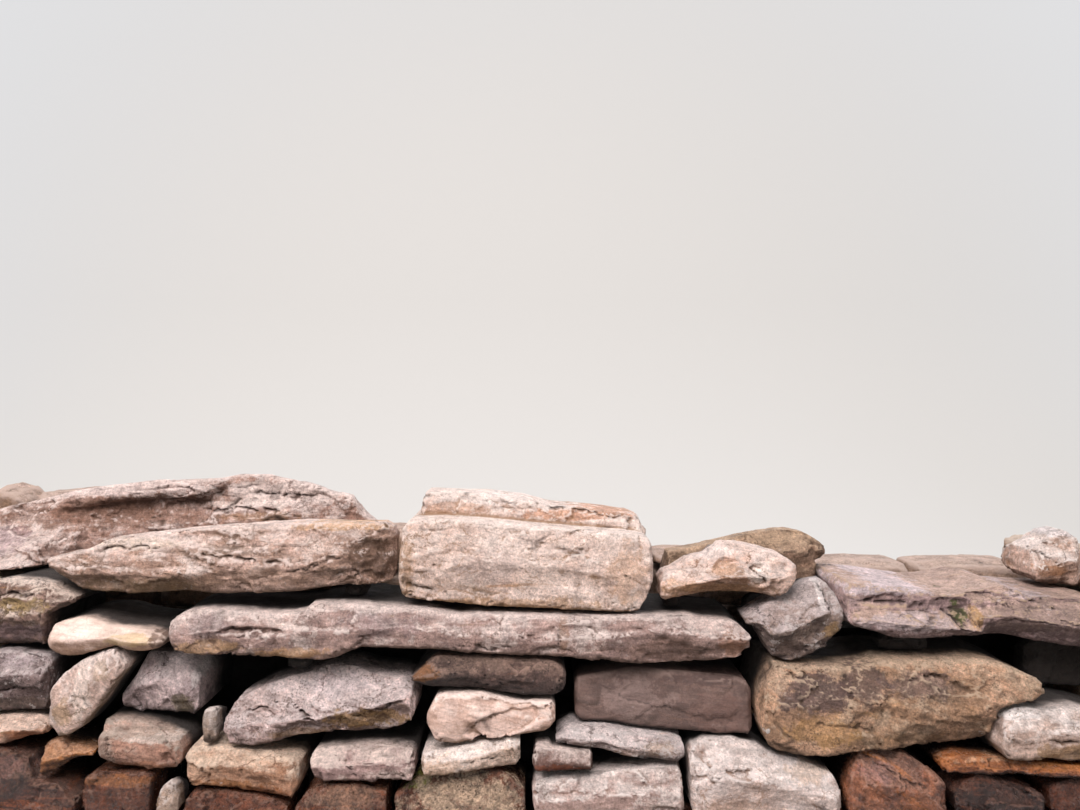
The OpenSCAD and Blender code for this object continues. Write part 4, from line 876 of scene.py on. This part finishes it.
# Stage
def paper_floor(colour):
    """Paper that lies under the wall and bends up behind it."""
    bpy.ops.mesh.primitive_plane_add(size=PAPER_WIDTH, location=(0, -3.0, 0))
    floor = bpy.context.object
    floor.name = "paper_floor"
    bpy.ops.object.mode_set(mode="EDIT")
    bpy.ops.mesh.select_all(action="DESELECT")
    bpy.ops.object.mode_set(mode="OBJECT")
    for edge in floor.data.edges:
        edge.select = all(floor.data.vertices[i].co.y > 0 for i in edge.vertices)
    for vertex in floor.data.vertices:
        vertex.select = vertex.co.y > 0
    bpy.ops.object.mode_set(mode="EDIT")
    bpy.ops.mesh.select_mode(type="EDGE")
    bpy.ops.mesh.extrude_region_move(TRANSFORM_OT_translate={"value": (0, 0, PAPER_HEIGHT)})
    bpy.ops.object.mode_set(mode="OBJECT")
    select_only(floor)
    bend = floor.modifiers.new("bend", "BEVEL")
    bend.width = 1.6
    bend.segments = 16
    bpy.ops.object.modifier_apply(modifier=bend.name)
    bpy.ops.object.shade_smooth()
    floor.data.materials.append(paper_material(colour))
    return floor


def lamp(name, place, looks, size, power, tint, spread=180):
    """A soft rectangular light at this place, which looks at that one."""
    bpy.ops.object.light_add(type="AREA", location=place)
    light = bpy.context.object
    light.name = name
    light.data.shape = "RECTANGLE"
    light.data.size, light.data.size_y = size
    light.data.energy = power
    light.data.color = linear(tint)[:3]
    light.data.spread = math.radians(spread)
    way = np.array(looks, float) - np.array(place, float)
    light.rotation_euler = (math.atan2(math.hypot(way[0], way[1]), -way[2]), 0,
        math.atan2(way[1], way[0]) - math.pi / 2)


def sky():
    """Light from all round, stronger from above, and an even pale sky to the camera."""
    world = bpy.data.worlds.new("sky")
    bpy.context.scene.world = world
    world.use_nodes = True
    tree = world.node_tree
    tree.nodes.clear()
    way = add(tree, "ShaderNodeTexCoord").outputs["Generated"]
    level = add(tree, RANGE, add(tree, SPLIT, way).outputs["Z"], -0.3, 0.9, 0.2, 0.75, **SOFT)
    seen = add(tree, MATH, seen_rays(tree), SKY_SEEN, operation="MULTIPLY")
    level = add(tree, MATH, level, seen, operation="MAXIMUM")
    glow = add(tree, "ShaderNodeBackground", linear(SKY), level)
    add(tree, "ShaderNodeOutputWorld", glow)


def eye(distance, height):
    """The camera, which looks level at the middle of the wall."""
    bpy.ops.object.camera_add(location=(0, -distance, height), rotation=(math.pi / 2, 0, 0))
    camera = bpy.context.object
    camera.name = "eye"
    camera.data.sensor_width = 36
    camera.data.lens = 28
    camera.data.clip_start = 0.05
    bpy.context.scene.camera = camera


# Add-on
class WallSettings(bpy.types.PropertyGroup):
    """What can be set before the wall is built."""

    detail: bpy.props.FloatProperty(name="Detail", description="Grain of the modelled surface of the "
        "stones of the front", default=0.0036, min=0.002, max=0.02, unit="LENGTH", subtype="DISTANCE")
    hidden_detail: bpy.props.FloatProperty(name="Detail of the back", description="Grain of the "
        "modelled surface of the stones that the photographed side hides", default=0.0095, min=0.004,
        max=0.03, unit="LENGTH", subtype="DISTANCE")
    relief: bpy.props.FloatProperty(name="Relief", description="Depth of the weathering against that "
        "of the wall as it stands", default=1.0, min=0.0, max=1.5, subtype="FACTOR")
    eye_height: bpy.props.FloatProperty(name="Eye height", description="Height of the camera above "
        "the foot of the wall", default=0.9, min=0.2, max=2.0, unit="LENGTH", subtype="DISTANCE")
    eye_distance: bpy.props.FloatProperty(name="Eye distance", description="Distance of the camera "
        "from the middle of the wall", default=1.62, min=1.0, max=4.0, unit="LENGTH",
        subtype="DISTANCE")
    lichen: bpy.props.FloatVectorProperty(name="Lichen", description="Colour of the lichen crusts",
        default=linear("#cfc7c4"), size=4, min=0.0, max=1.0, subtype="COLOR")
    # Painted shade: the colour that the joints darken to behind the face of the wall
    joint_dirt: bpy.props.FloatVectorProperty(name="Dirt in the joints", description="Colour of the "
        "dirt deep in the joints", default=linear("#15100e"), size=4, min=0.0, max=1.0, subtype="COLOR")
    paper: bpy.props.FloatVectorProperty(name="Paper", description="Colour of the floor and the "
        "backdrop in the light that they throw back", default=linear("#a9a6a2"), size=4, min=0.0,
        max=1.0, subtype="COLOR")


class StoneOperator:
    """What the operators that build stones share."""

    bl_options = {"REGISTER", "UNDO"}
    nodes = []

    def execute(self, context):
        make_stones(self.nodes, context.scene.wall_settings)
        return {"FINISHED"}


class WALL_OT_cope(StoneOperator, bpy.types.Operator):
    """Builds the boulders and slabs of the cope"""

    bl_idname = "wall.cope"
    bl_label = "Cope"
    nodes = COPE


class WALL_OT_long_course(StoneOperator, bpy.types.Operator):
    """Builds the course with the long slab"""

    bl_idname = "wall.long_course"
    bl_label = "Long course"
    nodes = LONG_COURSE


class WALL_OT_middle_course(StoneOperator, bpy.types.Operator):
    """Builds the blocks and boulders of the middle course"""

    bl_idname = "wall.middle_course"
    bl_label = "Middle course"
    nodes = MIDDLE_COURSE


class WALL_OT_lower_courses(StoneOperator, bpy.types.Operator):
    """Builds the stained slabs of the lower courses"""

    bl_idname = "wall.lower_courses"
    bl_label = "Lower courses"
    nodes = LOWER_COURSES


class WALL_OT_wet_course(StoneOperator, bpy.types.Operator):
    """Builds the wet stones just above the footing"""

    bl_idname = "wall.wet_course"
    bl_label = "Wet course"
    nodes = WET_COURSE


class WALL_OT_pins(StoneOperator, bpy.types.Operator):
    """Builds the small stones that pin the joints"""

    bl_idname = "wall.pins"
    bl_label = "Pinning stones"
    nodes = PINS


class WALL_OT_footing(StoneOperator, bpy.types.Operator):
    """Builds the footing stones"""

    bl_idname = "wall.footing"
    bl_label = "Footing"
    nodes = FOOT


class WALL_OT_ends(StoneOperator, bpy.types.Operator):
    """Builds the stones that close the two ends of the wall"""

    bl_idname = "wall.ends"
    bl_label = "Ends"
    nodes = ENDS


class WALL_OT_back(StoneOperator, bpy.types.Operator):
    """Builds the stones of the back of the wall"""

    bl_idname = "wall.back"
    bl_label = "Back"
    nodes = BACK


class WALL_OT_core(StoneOperator, bpy.types.Operator):
    """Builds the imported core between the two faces"""

    bl_idname = "wall.core"
    bl_label = "Core"
    nodes = CORE


class WALL_OT_stage(bpy.types.Operator):
    """Sets the pale floor and backdrop, the soft lights and the camera"""

    bl_idname = "wall.stage"
    bl_label = "Stage"
    bl_options = {"REGISTER", "UNDO"}

    def execute(self, context):
        props = context.scene.wall_settings
        paper_floor(props.paper)
        lamp("sky_panel", (-1.1, -2.5, 3.9), (0, 0, 0.4), (3.6, 2.0), 350, "#fff5f3")
        lamp("back_panel", (1.5, 3.6, 3.0), (0, 0, 0.4), (4.0, 2.0), 50, "#f4f6ff", 110)
        sky()
        eye(props.eye_distance, props.eye_height)
        context.scene.view_settings.view_transform = "Standard"
        return {"FINISHED"}


BUILDERS = [WALL_OT_core, WALL_OT_footing, WALL_OT_wet_course, WALL_OT_lower_courses,
    WALL_OT_middle_course, WALL_OT_long_course, WALL_OT_cope, WALL_OT_pins, WALL_OT_ends,
    WALL_OT_back, WALL_OT_stage]


class WALL_PT_panel(bpy.types.Panel):
    """The wall's settings and the steps that build it"""

    bl_label = "Dry stone wall"
    bl_idname = "WALL_PT_panel"
    bl_space_type = "VIEW_3D"
    bl_region_type = "UI"
    bl_category = "Wall"

    def draw(self, context):
        props = context.scene.wall_settings
        for name in ("detail", "hidden_detail", "relief", "lichen", "joint_dirt", "paper",
                "eye_height", "eye_distance"):
            self.layout.prop(props, name)
        for builder in BUILDERS:
            self.layout.operator(builder.bl_idname)


CLASSES = [WallSettings, *BUILDERS, WALL_PT_panel]


def register():
    for item in CLASSES:
        bpy.utils.register_class(item)
    bpy.types.Scene.wall_settings = bpy.props.PointerProperty(type=WallSettings)


def unregister():
    del bpy.types.Scene.wall_settings
    for item in reversed(CLASSES):
        bpy.utils.unregister_class(item)


def main():
    """Builds the wall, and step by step."""
    register()
    for builder in BUILDERS:
        group, name = builder.bl_idname.split(".")
        getattr(getattr(bpy.ops, group), name)()


if __name__ == "__main__":
    main()
